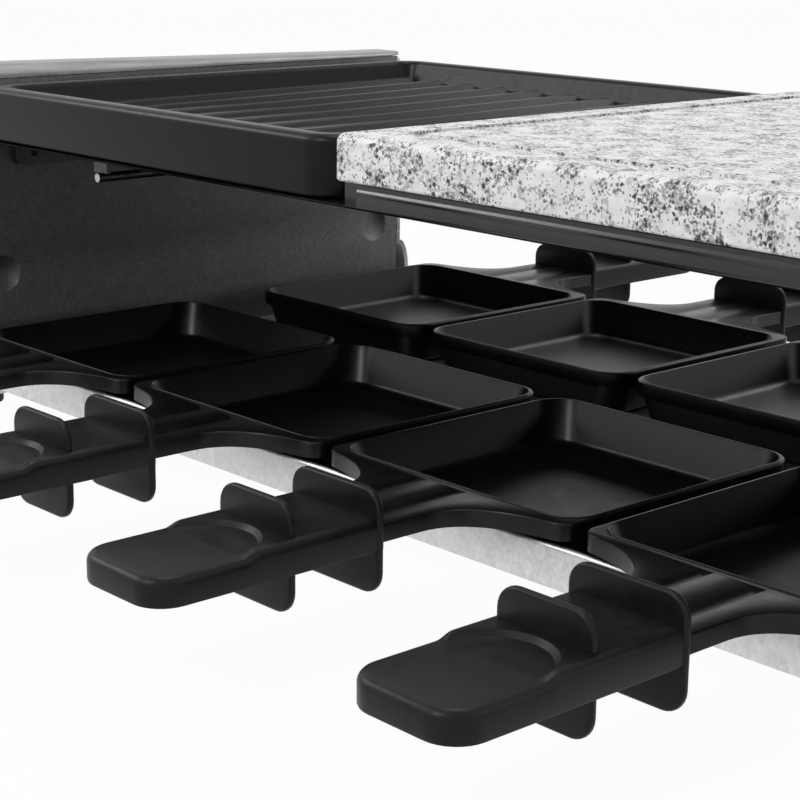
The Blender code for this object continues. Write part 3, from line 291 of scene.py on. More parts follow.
panel_low, panel_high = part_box("right_inner_panel")
ball = (DIMPLE_RADIUS ** 2 + DIMPLE_DEPTH ** 2) / (2 * DIMPLE_DEPTH)
panel = new_cube("right_panel_sheet", panel_low, (panel_low.x + SHEET, panel_high.y, panel_high.z))
for side in (-1, 1):
    centre = (panel_low.x + DIMPLE_DEPTH - ball, side * DIMPLE_AT[0], DIMPLE_AT[1])
    back = new_ball("dimple_back", centre, ball + SHEET)
    edit(back)
    bpy.ops.mesh.select_all(action="SELECT")
    bpy.ops.mesh.bisect(plane_co=(panel_low.x + SHEET / 2, 0, 0), plane_no=(1, 0, 0), use_fill=True,
                        clear_inner=True)
    leave()
    combine(panel, back, "UNION")
    combine(panel, new_ball("dimple", centre, ball), "DIFFERENCE")
edit(panel)
pick("EDGE", lambda edge, at: all(abs(vert.co.x - panel_low.x) < HAIR for vert in edge.verts)
     and abs((Vector((abs(at.y), at.z)) - Vector(DIMPLE_AT)).length - DIMPLE_RADIUS) < SHEET)
bevel(DIMPLE_EDGE, 3)
leave()
left_panel = copy_of(panel, "left_panel_sheet", MIRROR_X)
dress(panel, shaded_panel_zinc, "base", "galvanised_sheet", "right_inner_panel")
dress(left_panel, shaded_panel_zinc, "base", "galvanised_sheet", "left_inner_panel")

# End covers
# Drawn stainless steel, brushed from front to back. Straight above, they swell near the
# foot to the depth of the tray, and are screwed on from outside at the dimples.
COVER_UPPER = 0.1112
FLARE_FOOT = 0.0283
FLARE_HEIGHT = 0.0145
FLARE_STEPS = 8
COVER_WALL = 0.002
COVER_TOP_ROUND = 0.004
COVER_FOOT_ROUND = 0.002
COVER_EDGE = 0.0016
KNOB_AT = (-0.060, 0.055)
LAMP_AT = (-0.022, 0.055)
GLAND_AT = (0.080, 0.030)
SHAFT_HOLE = 0.0035
LAMP_HOLE = 0.0034
GLAND_HOLE = 0.0054


def upright_corners(width, segments):
    """Round the four upright edges of the shape being edited."""
    pick("EDGE", lambda edge, at: along(edge, "Z"))
    bevel(width, segments)


# Brushed lines from front to back spread the shine upwards. Real ones lie about 0.05 mm
# apart, and are drawn about 0.5 mm apart, so that they show.
cover_steel = finish_of("brushed_stainless_cover", "#a9aaab", "#c6c7c7", (0.28, 0.38), 0.7, 0.5,
                        0.008, (1, 0.03, 1), Metallic=1.0)[0]

cover_low, cover_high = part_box("right_end_cover")
cover = new_cube("right_cover_shell", cover_low, cover_high)
edit(cover)
flare = [(FLARE_FOOT + FLARE_HEIGHT * sin(pi / 2 * i / FLARE_STEPS),
          COVER_UPPER + (cover_high.y - COVER_UPPER) * cos(pi / 2 * i / FLARE_STEPS))
         for i in range(FLARE_STEPS + 1)]
for z, half in flare:
    cut_at(z=z)
for z, half in flare + [(cover_high.z, COVER_UPPER)]:
    pick("VERT", lambda vert, at: abs(at.z - z) < HAIR)
    bpy.ops.transform.resize(value=(1, half / cover_high.y, 1), center_override=(0, 0, z))
pick("EDGE", lambda edge, at: along(edge, "X") and level(edge, cover_high.z))
bevel(COVER_TOP_ROUND, 5)
pick("EDGE", lambda edge, at: along(edge, "X") and level(edge, cover_low.z))
bevel(COVER_FOOT_ROUND, 3)
pick("EDGE", lambda edge, at: all(abs(vert.co.x - cover_high.x) < HAIR for vert in edge.verts)
     and min(abs(face.normal.x) for face in edge.link_faces) < 0.1)
bevel(COVER_EDGE, 4)
pick("FACE", lambda face, at: face.normal.x < -0.9 and at.x < cover_low.x + HAIR)
bpy.ops.mesh.dissolve_faces()
bpy.ops.mesh.inset(thickness=COVER_WALL, depth=0)
extrude(x=cover_high.x - COVER_WALL - cover_low.x)
leave()
left_cover = copy_of(cover, "left_cover_shell", MIRROR_X)
for name, at, radius in (("shaft_hole", KNOB_AT, SHAFT_HOLE), ("lamp_hole", LAMP_AT, LAMP_HOLE),
                         ("gland_hole", GLAND_AT, GLAND_HOLE)):
    combine(cover, new_cylinder(name, "X", at, radius, cover_high.x - 2 * COVER_WALL,
                                cover_high.x + COVER_WALL), "DIFFERENCE")
dress(cover, cover_steel, "base", "brushed_steel", "right_end_cover")
dress(left_cover, cover_steel, "base", "brushed_steel", "left_end_cover")

# Top trims
# Brushed steel bars that close the gap between panel and cover along the top. They are
# rolled down on their inner side, with round ends, and fall a little towards the back.
TRIM_FALL = 0.0016
TRIM_BOW = 0.0020
TRIM_BOW_START = 0.020
TRIM_PARTS = 12
TRIM_ROLL = 0.0042
TRIM_ROLL_DROP = 0.75
TRIM_ROLL_PARTS = 6
TRIM_CORNER = 0.0045
TRIM_EDGE = 0.001

# Steel rubbed by hands and cloths gives short soft streaks along the bar and a satin shine.
trim_steel = finish_of("rubbed_steel_trim", "#808080", "#9a9a9a", (0.36, 0.48), 3.5, 0.5, 0.008,
                       (1, 0.12, 1), Metallic=1.0)[0]

trim_low, trim_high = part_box("right_top_trim")
trim = new_cube("right_trim_bar", trim_low, trim_high)
edit(trim)
rolls = [(trim_low.x + TRIM_ROLL * (1 - cos(pi / 2 * i / TRIM_ROLL_PARTS)),
          TRIM_ROLL_DROP * (1 - sin(pi / 2 * i / TRIM_ROLL_PARTS)))
         for i in range(TRIM_ROLL_PARTS + 1)]
for x, drop in rolls[1:]:
    cut_at(x=x)
for x, drop in rolls:
    pick("VERT", lambda vert, at: at.z > trim_high.z - HAIR and abs(at.x - x) < HAIR)
    bpy.ops.transform.translate(value=(0, 0, -drop * (trim_high.z - trim_low.z)))
for i in range(TRIM_PARTS + 1):
    y = trim_high.y * (2 * i / TRIM_PARTS - 1)
    if 0 < i < TRIM_PARTS:
        cut_at(y=y)
    past = max(0.0, (y - TRIM_BOW_START) / (trim_high.y - TRIM_BOW_START))
    fall = TRIM_FALL * i / TRIM_PARTS + TRIM_BOW * past ** 2
    pick("VERT", lambda vert, at: abs(at.y - y) < HAIR)
    bpy.ops.transform.resize(value=(1, 1, 1 - fall / (trim_high.z - trim_low.z)),
                             center_override=(0, 0, trim_low.z))
leave()
ends = new_cube("trim_ends", trim_low, (trim_high.x, trim_high.y, trim_high.z + SHEET))
edit(ends)
upright_corners(TRIM_CORNER, 6)
leave()
combine(trim, ends, "INTERSECT")
edit(trim)
pick("EDGE", lambda edge, at: any(face.normal.z > 0.3 for face in edge.link_faces)
     and any(abs(face.normal.z) < 0.1 for face in edge.link_faces) and at.x > trim_low.x + HAIR)
bevel(TRIM_EDGE, 4)
leave()
left_trim = copy_of(trim, "left_trim_bar", MIRROR_X)
dress(trim, trim_steel, "base", "brushed_steel", "right_top_trim")
dress(left_trim, trim_steel, "base", "brushed_steel", "left_top_trim")

# Carrying handles
# Black phenolic resin, compression moulded as a bow with two feet and screwed on from
# inside the covers.
GRIP_THICKNESS = 0.011
GRIP_FOOT = 0.014
GRIP_CORNER = 0.013
GRIP_EDGE = 0.0022

# Dense resin gives a half-matt black. Its grain of about 0.1 mm is drawn as 0.5 mm, to show.
grip_resin = finish_of("phenolic_grip_resin", "#1b1b1b", "#242424", (0.42, 0.52), 5, 0.5, 0.02)[0]


def bow(name, low, high, corner):
    """A block whose two outer upright edges are rounded."""
    made = new_cube(name, low, high)
    edit(made)
    pick("EDGE", lambda edge, at: along(edge, "Z") and at.x > high[0] - HAIR)
    bevel(corner, 8)
    leave()
    return made


grip_low, grip_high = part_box("right_carrying_handle")
grip = bow("right_grip_bow", grip_low, grip_high, GRIP_CORNER)
combine(grip, bow("finger_room", (grip_low.x - SHEET, grip_low.y + GRIP_FOOT, grip_low.z - SHEET),
                  (grip_high.x - GRIP_THICKNESS, grip_high.y - GRIP_FOOT, grip_high.z + SHEET),
                  GRIP_CORNER / 2), "DIFFERENCE")
edit(grip)
pick("EDGE", lambda edge, at: (level(edge, grip_low.z) or level(edge, grip_high.z))
     and at.x > grip_low.x + HAIR)
bevel(GRIP_EDGE, 4)
leave()
left_grip = copy_of(grip, "left_grip_bow", MIRROR_X)
dress(grip, grip_resin, "base", "black_plastic", "right_carrying_handle")
dress(left_grip, grip_resin, "base", "black_plastic", "left_carrying_handle")

# Frame brackets and screws
# Small angles of black enamelled sheet carry the plate frame. They are fixed to the panels
# by zinc-plated cheese-head screws with a slot; the same screws hold the end covers.
HEAD_RADIUS = 0.0028
HEAD_HEIGHT = 0.0016
HEAD_EDGE = 0.0004
SLOT_WIDTH = 0.0008
FIRST_SLOT_TURN = 25
NEXT_SLOT_TURN = 55

# Enamel gives the sheet a deep black with a soft shine.
bracket_enamel = finish_of("black_enamelled_bracket", "#0d0d0d", "#171717", (0.25, 0.35), 4, 0.6,
                           0.008)[0]
# Thin zinc plate gives a pale, slightly cloudy metal with bright edges.
screw_zinc = finish_of("zinc_plated_steel", "#b9bbbd", "#d9dadb", (0.2, 0.3), 1.2, 0.4, 0.004,
                       Metallic=1.0)[0]
for side in ("left", "right"):
    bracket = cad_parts[f"{side}_frame_bracket"]
    bracket.data.materials.clear()
    bracket.data.materials.append(bracket_enamel)

head = new_cylinder("screw_head", "X", (0, 0), HEAD_RADIUS, 0, HEAD_HEIGHT, 40)
edit(head)
pick("EDGE", lambda edge, at: all(abs(vert.co.x - HEAD_HEIGHT) < HAIR for vert in edge.verts))
bevel(HEAD_EDGE, 3)
leave()
combine(head, new_cube("slot", (HEAD_HEIGHT / 2, -HEAD_RADIUS * 2, -SLOT_WIDTH / 2),
                       (HEAD_HEIGHT * 2, HEAD_RADIUS * 2, SLOT_WIDTH / 2)), "DIFFERENCE")
screws = sorted(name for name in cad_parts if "_screw_" in name)
for number, node in enumerate(screws):
    low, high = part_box(node)
    outward = node.startswith("right") == ("cover" in node)
    place = Vector((low.x if outward else high.x, (low.y + high.y) / 2, (low.z + high.z) / 2))
    slot_turn = radians(FIRST_SLOT_TURN + NEXT_SLOT_TURN * number)
    turn = Matrix.Rotation(0 if outward else pi, 4, "Z") @ Matrix.Rotation(slot_turn, 4, "X")
    screw = copy_of(head, node.replace("_screw_", "_slotted_screw_"),
                    Matrix.Translation(place) @ turn)
    dress(screw, screw_zinc, "base", "zinc_plated_steel", node)
bpy.data.objects.remove(head, do_unlink=True)

# Plate frame
# Pressed steel in black enamel: a ledge under the plates, a rolled bead, a hollow neck and a
# round belly. Its left half is cut back, so that the cast plate's skirt hangs in front of it.
RAIL = 0.010
FRAME_CORNER = 0.006
LEDGE_RISE = 0.0009
# From the foot up, in mm: height and how far the outline lies behind the belly.
RAIL_PROFILE = ((0, 1.2), (0.3, 0.6), (0.8, 0.2), (1.5, 0), (2.6, 0.05), (3.4, 0.25),
                (4.0, 0.42), (4.4, 0.45), (4.7, 0.3), (4.9, 0.1), (5.2, 0), (5.5, 0.08),
                (5.8, 0.25), (6.1, 0.45), (6.4, 0.52), (7.5, 0.62))
CUT_PAST = 0.0108
SKIRT_ROOM = 0.0003
CROSSBAR = (-0.008, 0.010)
FRAME_FOOT = 0.1044
OPENING_CORNER = 0.0015
SKIRT_IN = 0.0073
SKIRT_IN_CORNER = 0.0067
SKIRT_WALL = 0.0055
FOOT_KEPT = 0.0008

# Fired enamel over sheet gives a deep black with a clear, slightly wavy shine.
frame_enamel = finish_of("black_enamelled_steel", "#0b0b0b", "#121212", (0.2, 0.28), 4, 0.6,
                         0.004, Specular_IOR_Level=0.5)[0]


def rounded_block(name, low, high, corner, segments=6):
    """A block with four round upright corners."""
    made = new_cube(name, low, high)
    edit(made)
    upright_corners(corner, segments)
    leave()
    return made


frame_low, frame_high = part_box("plate_frame")
frame_x, frame_y = frame_high.x, frame_high.y
bead_top = frame_high.z - LEDGE_RISE
frame_ring = rounded_block("plate_frame_ring", (-frame_x, -frame_y, FRAME_FOOT), frame_high,
                           FRAME_CORNER, 8)
edit(frame_ring)
for up, behind in RAIL_PROFILE[1:-1]:
    cut_at(z=FRAME_FOOT + up / 1000)
for up, behind in RAIL_PROFILE:
    pick("VERT", lambda vert, at: abs(at.z - FRAME_FOOT - up / 1000) < HAIR)
    bpy.ops.transform.resize(value=(1 - behind / 1000 / frame_x, 1 - behind / 1000 / frame_y, 1),
                             center_override=(0, 0, 0))
leave()
for left, right in ((-frame_x + RAIL, CROSSBAR[0]), (CROSSBAR[1], frame_x - RAIL)):
    combine(frame_ring, rounded_block("opening", (left, -frame_y + RAIL, FRAME_FOOT - SHEET),
                                      (right, frame_y - RAIL, frame_high.z + SHEET),
                                      OPENING_CORNER, 3), "DIFFERENCE")
grill_low, grill_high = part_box("grill_plate")
channel = new_cube("skirt_channel",
                   (grill_low.x - SKIRT_ROOM, -frame_y - SHEET, FRAME_FOOT + FOOT_KEPT),
                   (grill_high.x + SKIRT_ROOM, frame_y + SHEET, frame_high.z + SHEET))
combine(channel, rounded_block("inside_of_skirt",
                               (grill_low.x + SKIRT_IN, grill_low.y + SKIRT_IN, FRAME_FOOT),
                               (grill_high.x - SKIRT_IN, grill_high.y - SKIRT_IN,
                                frame_high.z + 2 * SHEET), SKIRT_IN_CORNER), "DIFFERENCE")
combine(frame_ring, channel, "DIFFERENCE")
combine(frame_ring, new_cube("plate_room", (grill_low.x - SKIRT_ROOM, -frame_y - SHEET, bead_top),
                             (grill_high.x + SKIRT_ROOM, frame_y + SHEET,
                              frame_high.z + SHEET)), "DIFFERENCE")
for side in (-1, 1):
    near, far = sorted((side * (frame_y - SKIRT_WALL), side * (frame_y + SHEET)))
    combine(frame_ring, new_cube("rail_cut", (CROSSBAR[0], near, FRAME_FOOT + FOOT_KEPT),
                                 (CUT_PAST, far, frame_high.z + SHEET)), "DIFFERENCE")

# Two tabs under the front and back rails hold the ends of the support rod.
TAB_HALF = 0.004
TAB_THICKNESS = 0.0015
TAB_UP = 0.0005
rod_low, rod_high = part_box("element_support_rod")
rod_x = (rod_low.x + rod_high.x) / 2
arm_z = FRAME_FOOT + TAB_UP
tab_y = rod_high.y - TAB_THICKNESS
for side in (-1, 1):
    tab = new_cube("rod_tab", (rod_x - TAB_HALF, tab_y - TAB_THICKNESS, arm_z),
                   (rod_x + TAB_HALF, frame_y - RAIL + SHEET, arm_z + TAB_THICKNESS))
    edit(tab)
    cut_at(y=tab_y)
    pick("FACE", lambda face, at: face.normal.z < -0.9 and at.y < tab_y)
    extrude(z=rod_high.z + HAIR - arm_z)
    leave()
    if side < 0:
        tab.data.transform(Matrix.Diagonal((1, -1, 1, 1)))
        tab.data.flip_normals()
    combine(frame_ring, tab, "UNION")
dress(frame_ring, frame_enamel, "base", "black_frame_enamel", "plate_frame")

# Heating element and its support rod
# A steel-sheathed tube bent to a double loop below the plates, dark from heat, lying on a
# thin rod whose sheared ends shine.
ELEMENT_RADIUS = 0.003
ELEMENT_Z = 0.1009
RUNS = (0.025, 0.072)
LEFT_BEND_X = -0.172
RIGHT_BEND_X = 0.158
TAIL_X = 0.224
BEND_STEPS = 16
ROD_EDGE = 0.0002

# Heat gives the steel sheath a dull brown-grey tint in broad patches.
element_sheath = finish_of("heat_tinted_sheath", "#3a3835", "#57544f", (0.35, 0.5), 6, 0.5, 0.01,
                           Metallic=1.0)[0]
# Drawing and plating give the rod an even, bright grey.
rod_zinc = finish_of("drawn_zinc_plated_rod", "#8e9092", "#c2c4c5", (0.25, 0.35), 1.5, 0.4, 0.004,
                     Metallic=1.0)[0]


def bend(x, y, angle):
    """Carry the tube's open end round a point, anticlockwise from above for a positive angle."""
    bpy.ops.mesh.spin(steps=BEND_STEPS, angle=-angle, center=(x, y, ELEMENT_Z), axis=(0, 0, 1),
                      dupli=False, use_auto_merge=False)


bpy.ops.object.select_all(action="DESELECT")
bpy.ops.mesh.primitive_circle_add(vertices=20, radius=ELEMENT_RADIUS, fill_type="NGON",
                                  location=(TAIL_X, -RUNS[1], ELEMENT_Z), rotation=(0, pi / 2, 0))
element = settle("sheathed_element")
edit(element)
bpy.ops.mesh.select_all(action="SELECT")
outer = (RUNS[0] + RUNS[1]) / 2
extrude(x=LEFT_BEND_X - TAIL_X)
bend(LEFT_BEND_X, -outer, -pi)
extrude(x=RIGHT_BEND_X - LEFT_BEND_X)
bend(RIGHT_BEND_X, 0, pi)
extrude(x=LEFT_BEND_X - RIGHT_BEND_X)
bend(LEFT_BEND_X, outer, -pi)
extrude(x=TAIL_X - LEFT_BEND_X)
bpy.ops.mesh.select_all(action="SELECT")
bpy.ops.mesh.remove_doubles(threshold=HAIR / 10)
bpy.ops.mesh.normals_make_consistent(inside=False)
leave()
dress(element, element_sheath, "base", "element_sheath", "heating_element")

rod_radius = (rod_high.z - rod_low.z) / 2
rod = new_cylinder("support_rod_bar", "Y", (rod_x, rod_low.z + rod_radius), rod_radius,
                   rod_low.y, rod_high.y, 24)
edit(rod)
pick("EDGE", lambda edge, at: not along(edge, "Y"))
bevel(ROD_EDGE, 2)
leave()
dress(rod, rod_zinc, "base", "element_sheath", "element_support_rod")

# Grill plate
# Die-cast aluminium with a sprayed and fired non-stick coat. It has a deep skirt, a round
# rim and straight ribs, which run out in a long slope at the front; it is lifted on by hand.
GRILL_CORNER = 0.014
RIM_EDGE = 0.0028
RIM_ROUND = 0.0022
RIM_FLAT = 0.0024
WALL_SLOPE = 75
WALL_LEAN = 0.002
GRILL_FLOOR = 0.1155
FLOOR_ROUND = 0.002
SKIRT_EDGE = 0.0011
SKIRT_HOLLOW = 0.006
RIBS = 10
RIB_PITCH = 0.0193
RIB_HEIGHT = 0.003
RIB_FOOT = 0.0065
RIB_CREST = 0.003
RIB_END = 0.0965
RIB_RAMP = 0.004
RIB_EDGE = 0.0007
RIB_SLOPE = 0.050
RIB_SLOPE_PARTS = 8
RIB_SINK = 0.45

# A sprayed coat on a cast skin gives black with a fine grain, which breaks up its shine. The
# grain of about 0.1 mm is drawn as 0.45 mm, so that it shows.
cast_coat = finish_of("sprayed_nonstick_casting", "#090909", "#0e0e0e", (0.28, 0.36), 2.5, 0.45,
                      0.03, Specular_IOR_Level=0.15)[0]


def inset_steps(steps):
    """Inset the picked face step by step; each step gives its width and how far it goes down."""
    for width, drop in steps:
        bpy.ops.mesh.inset(thickness=width, depth=0)
        bpy.ops.transform.translate(value=(0, 0, -drop))


def arc_steps(radius, start, end, count):
    """Steps along an arc in section, from one slope to another in degrees; 0 is level."""
    slopes = [radians(start + (end - start) * i / count) for i in range(count + 1)]
    return [(radius * abs(sin(b) - sin(a)), radius * abs(cos(a) - cos(b)))
            for a, b in zip(slopes, slopes[1:])]


grill = rounded_block("ribbed_grill_plate", grill_low, grill_high, GRILL_CORNER, 10)
edit(grill)
pick("EDGE", lambda edge, at: level(edge, grill_high.z))
bevel(RIM_EDGE, 7)
pick("EDGE", lambda edge, at: level(edge, grill_low.z))
bevel(SKIRT_EDGE, 3)
pick("FACE", lambda face, at: face.normal.z > 0.999 and at.z > grill_high.z - HAIR)
rounds = [arc_steps(RIM_ROUND, 0, WALL_SLOPE, 5), arc_steps(FLOOR_ROUND, WALL_SLOPE, 0, 4)]
wall = grill_high.z - GRILL_FLOOR - sum(drop for steps in rounds for width, drop in steps)
inset_steps([(RIM_FLAT, 0.0)] + rounds[0] + [(WALL_LEAN, wall)] + rounds[1])
pick("FACE", lambda face, at: face.normal.z < -0.999 and at.z < grill_low.z + HAIR)
inset_steps([(SKIRT_WALL - SKIRT_EDGE, 0.0), (SHEET, -SKIRT_HOLLOW)])
leave()
grill_x = (grill_low.x + grill_high.x) / 2
for i in range(RIBS):
    middle = grill_x + (i - (RIBS - 1) / 2) * RIB_PITCH
    rib = new_cube("rib", (middle - RIB_FOOT / 2, -RIB_END, GRILL_FLOOR - SHEET),
                   (middle + RIB_FOOT / 2, RIB_END, GRILL_FLOOR + RIB_HEIGHT))
    edit(rib)
    cut_at(z=GRILL_FLOOR)
    pick("VERT", lambda vert, at: at.z > GRILL_FLOOR + HAIR)
    bpy.ops.transform.resize(value=(RIB_CREST / RIB_FOOT, 1 - RIB_RAMP / RIB_END, 1),
                             center_override=(middle, 0, GRILL_FLOOR))
    pick("EDGE", lambda edge, at: level(edge, GRILL_FLOOR + RIB_HEIGHT) and along(edge, "Y"))
    bevel(RIB_EDGE, 3)
    for part in range(RIB_SLOPE_PARTS):
        share = 1 - part / RIB_SLOPE_PARTS
        y = RIB_RAMP - RIB_END + RIB_SLOPE * (1 - share)
        if part:
            cut_at(y=y)
        pick("VERT", lambda vert, at: abs(at.y - y) < HAIR and at.z > GRILL_FLOOR + HAIR)
        bpy.ops.transform.resize(value=(1, 1, 1 - RIB_SINK * share ** 2),
                                 center_override=(0, 0, GRILL_FLOOR))
    leave()
    combine(grill, rib, "UNION")
dress(grill, cast_coat, "ribbed_plate", "cast_plate_coating", "grill_plate")

# Granite plate
# Sawn and honed granite, white feldspar and grey quartz with clustered flakes of black
# mica. All edges are eased, and a round groove is milled near the edge for juices.
STONE_CORNER = 0.0031
STONE_TOP_ROUND = 0.0028
STONE_FOOT_ROUND = 0.0010
GROOVE_IN = 0.0132
GROOVE_CORNER = 0.0078
GROOVE_WIDTH = 0.0056
GROOVE_DEPTH = 0.0024
# Of each kind of flake: width in mm, colour, and how rarely it comes.
FLAKES = ((1.9, "#bcbcbb", 1.02), (0.7, "#9a9a9a", 0.96), (1.0, "#6e6e70", 1.1),
          (1.4, "#333335", 1.22))

# Honing leaves the white feldspar satin; the mica gives small sharp dark flakes in clusters.
granite, tree, shader, mm, tone = finish_of("honed_granite", "#dcdcda", "#f0f0ee", (0.4, 0.52),
                                            3.0, 0.5, 0.01)
cluster = add_node(tree, "TexNoise", {"Vector": mm, "Scale": 1 / 9, "Detail": 3, "Roughness": 0.6})
cluster = add_node(tree, "MapRange", {"Value": cluster, "From Min": 0.35, "From Max": 0.65,
                                      "To Max": 0.6})
wobble = add_node(tree, "TexNoise", {"Vector": mm, "Scale": 1 / 0.8, "Detail": 2}, "Color")
shaken = add_node(tree, "VectorMath", {0: mm, 1: wobble}, operation="ADD")
for flake_mm, colour, chance in FLAKES:
    cell = add_node(tree, "TexVoronoi", {"Vector": shaken, "Scale": 1 / flake_mm}, "Color")
    lifted = add_node(tree, "Math", {0: add_node(tree, "SeparateColor", {0: cell}), 1: cluster},
                      operation="ADD")
    flake = add_node(tree, "MapRange", {"Value": lifted, "From Min": chance,
                                        "From Max": chance + 0.03})
    whole = add_node(tree, "MapRange", {"Value": cell.node.outputs["Distance"], "From Min": 0.62,
                                        "From Max": 0.46})
    flake = add_node(tree, "Math", {0: flake, 1: whole}, operation="MULTIPLY")
    tone = add_node(tree, "Mix", {0: flake, 6: tone, 7: linear(colour)}, 2, data_type="RGBA")
tree.links.new(tone, shader.inputs["Base Color"])


def upright(face):
    return abs(face.normal.z) < 0.1


stone_low, stone_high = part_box("stone_plate")
stone = rounded_block("granite_slab", stone_low, stone_high, STONE_CORNER, 8)
edit(stone)
pick("EDGE", lambda edge, at: level(edge, stone_high.z))
bevel(STONE_TOP_ROUND, 6)
pick("EDGE", lambda edge, at: level(edge, stone_low.z))
bevel(STONE_FOOT_ROUND, 4)
leave()
groove = rounded_block("groove", (stone_low.x + GROOVE_IN, stone_low.y + GROOVE_IN,
                                  stone_high.z - GROOVE_DEPTH),
                       (stone_high.x - GROOVE_IN, stone_high.y - GROOVE_IN,
                        stone_high.z + GROOVE_DEPTH), GROOVE_CORNER, 8)
edit(groove)
pick("FACE", lambda face, at: abs(face.normal.z) > 0.9)
bpy.ops.mesh.inset(thickness=GROOVE_WIDTH, depth=0)
bpy.ops.mesh.bridge_edge_loops()
pick("EDGE", lambda edge, at: level(edge, stone_high.z - GROOVE_DEPTH)
     and any(upright(face) for face in edge.link_faces))
bevel(GROOVE_DEPTH - HAIR * 5, 5)
leave()
combine(stone, groove, "DIFFERENCE")
dress(stone, granite, "granite_plate", "granite", "stone_plate")

# Pans
# Pressure die-cast aluminium with a smooth black non-stick coat. A square dish with a deep
# flange, which widens in front to an apron and runs out into a tongue with two valleys.
PAN_HALF = 0.049
PAN_HEIGHT = 0.016
PAN_CORNER = 0.011
FLANGE_Z = 0.0109
DISH_TOP = 0.0474
DISH_FOOT = 0.0446
DISH_INNER = 0.0432
PAN_FLOOR = 0.002
BASE_ROUND = 0.0016
APRON_WIDTH = 0.0028
APRON_CORNER = 0.0058
APRON_TOP = 0.0158
TONGUE_HALF = 0.0172
TONGUE_END = 0.0865
FLARE_BEND = 0.056
FLARE_END = 0.073
FLARE_PARTS = 12
VALLEY_AT = 0.008
VALLEY_WIDTH = 0.0048
VALLEY_DEPTH = 0.0006
VALLEY_FOOT = 0.55
VALLEY_START = 0.0011
TANG_HALF = 0.011
TANG_THICKNESS = 0.0022
TANG_LENGTH = 0.024
TANG_TOP = 0.0145
CAST_EDGE = 0.0005
RIM_WIDTH = 0.0007
HOLLOW_ROUND = 1.4 * BASE_ROUND

# A smooth coat gives near black, which turns grey and shiny only at flat angles.
pan_coat = finish_of("nonstick_die_casting", "#070707", "#0c0c0c", (0.28, 0.35), 7, 0.4, 0.008,
                     Specular_IOR_Level=0.25)[0]


def tapered_dish(name, foot, low, high, base_round):
    """A square block with round corners that narrows towards its rounded foot."""
    made = rounded_block(name, (-DISH_TOP, -DISH_TOP, low), (DISH_TOP, DISH_TOP, high),
                         PAN_CORNER - PAN_HALF + DISH_TOP, 8)
    edit(made)
    pick("VERT", lambda vert, at: abs(at.z - low) < HAIR)
    bpy.ops.transform.resize(value=(foot / DISH_TOP, foot / DISH_TOP, 1),
                             center_override=(0, 0, low))
    pick("EDGE", lambda edge, at: level(edge, low))
    bevel(base_round, 5)
    leave()
    return made


pan = new_cube("pan", (-PAN_HALF, -PAN_HALF - APRON_WIDTH, FLANGE_Z),
               (PAN_HALF, PAN_HALF, APRON_TOP))
edit(pan)
pick("EDGE", lambda edge, at: along(edge, "Z") and at.y > 0)
bevel(PAN_CORNER, 8)
pick("EDGE", lambda edge, at: along(edge, "Z") and at.y < 0)
bevel(APRON_CORNER, 6)
pick("FACE", lambda face, at: face.normal.y < -0.999)
half = start_half = PAN_HALF - APRON_CORNER
reach = start_reach = PAN_HALF + APRON_WIDTH
for i in range(1, FLARE_PARTS + 1):
    t = i / FLARE_PARTS
    next_half = (1 - t) ** 2 * start_half + (1 - (1 - t) ** 2) * TONGUE_HALF
    next_reach = ((1 - t) ** 2 * start_reach + 2 * t * (1 - t) * FLARE_BEND
                  + t ** 2 * FLARE_END)
    extrude(y=reach - next_reach)
    bpy.ops.transform.resize(value=(next_half / half, 1, 1), center_override=(0, -next_reach, 0))
    half, reach = next_half, next_reach
extrude(y=reach - TONGUE_END)
pick("EDGE", lambda edge, at: level(edge, APRON_TOP) and at.y > -TONGUE_END + HAIR
     and any(upright(face) for face in edge.link_faces))
bevel(CAST_EDGE, 3)
leave()
combine(pan, tapered_dish("dish", DISH_FOOT, 0, FLANGE_Z + SHEET, BASE_ROUND), "UNION")
combine(pan, rounded_block("rim", (-DISH_TOP - RIM_WIDTH, -DISH_TOP - RIM_WIDTH, FLANGE_Z + SHEET),
                           (DISH_TOP + RIM_WIDTH, DISH_TOP + RIM_WIDTH, PAN_HEIGHT),
                           PAN_CORNER - PAN_HALF + DISH_TOP + RIM_WIDTH, 8), "UNION")
combine(pan, tapered_dish("hollow", DISH_INNER, PAN_FLOOR, PAN_HEIGHT + HAIR, HOLLOW_ROUND),
        "DIFFERENCE")
edit(pan)
pick("EDGE", lambda edge, at: level(edge, PAN_HEIGHT))
bevel(RIM_WIDTH * 0.4, 3)
leave()
for side in (-1, 1):
    middle = side * VALLEY_AT
    valley = new_cube("valley", (middle - VALLEY_WIDTH / 2, -TONGUE_END - SHEET,
                                 APRON_TOP - VALLEY_DEPTH),
                      (middle + VALLEY_WIDTH / 2, -PAN_HALF - VALLEY_START, APRON_TOP))
    edit(valley)
    pick("VERT", lambda vert, at: at.z < APRON_TOP - HAIR)
    bpy.ops.transform.resize(value=(VALLEY_FOOT, 1, 1), center_override=(middle, 0, 0))
    pick("FACE", lambda face, at: face.normal.z > 0.9)
    extrude(z=SHEET)
    leave()
    combine(pan, valley, "DIFFERENCE")
combine(pan, new_cube("tang", (-TANG_HALF, -TONGUE_END - TANG_LENGTH, TANG_TOP - TANG_THICKNESS),
                      (TANG_HALF, -TONGUE_END + SHEET, TANG_TOP)), "UNION")

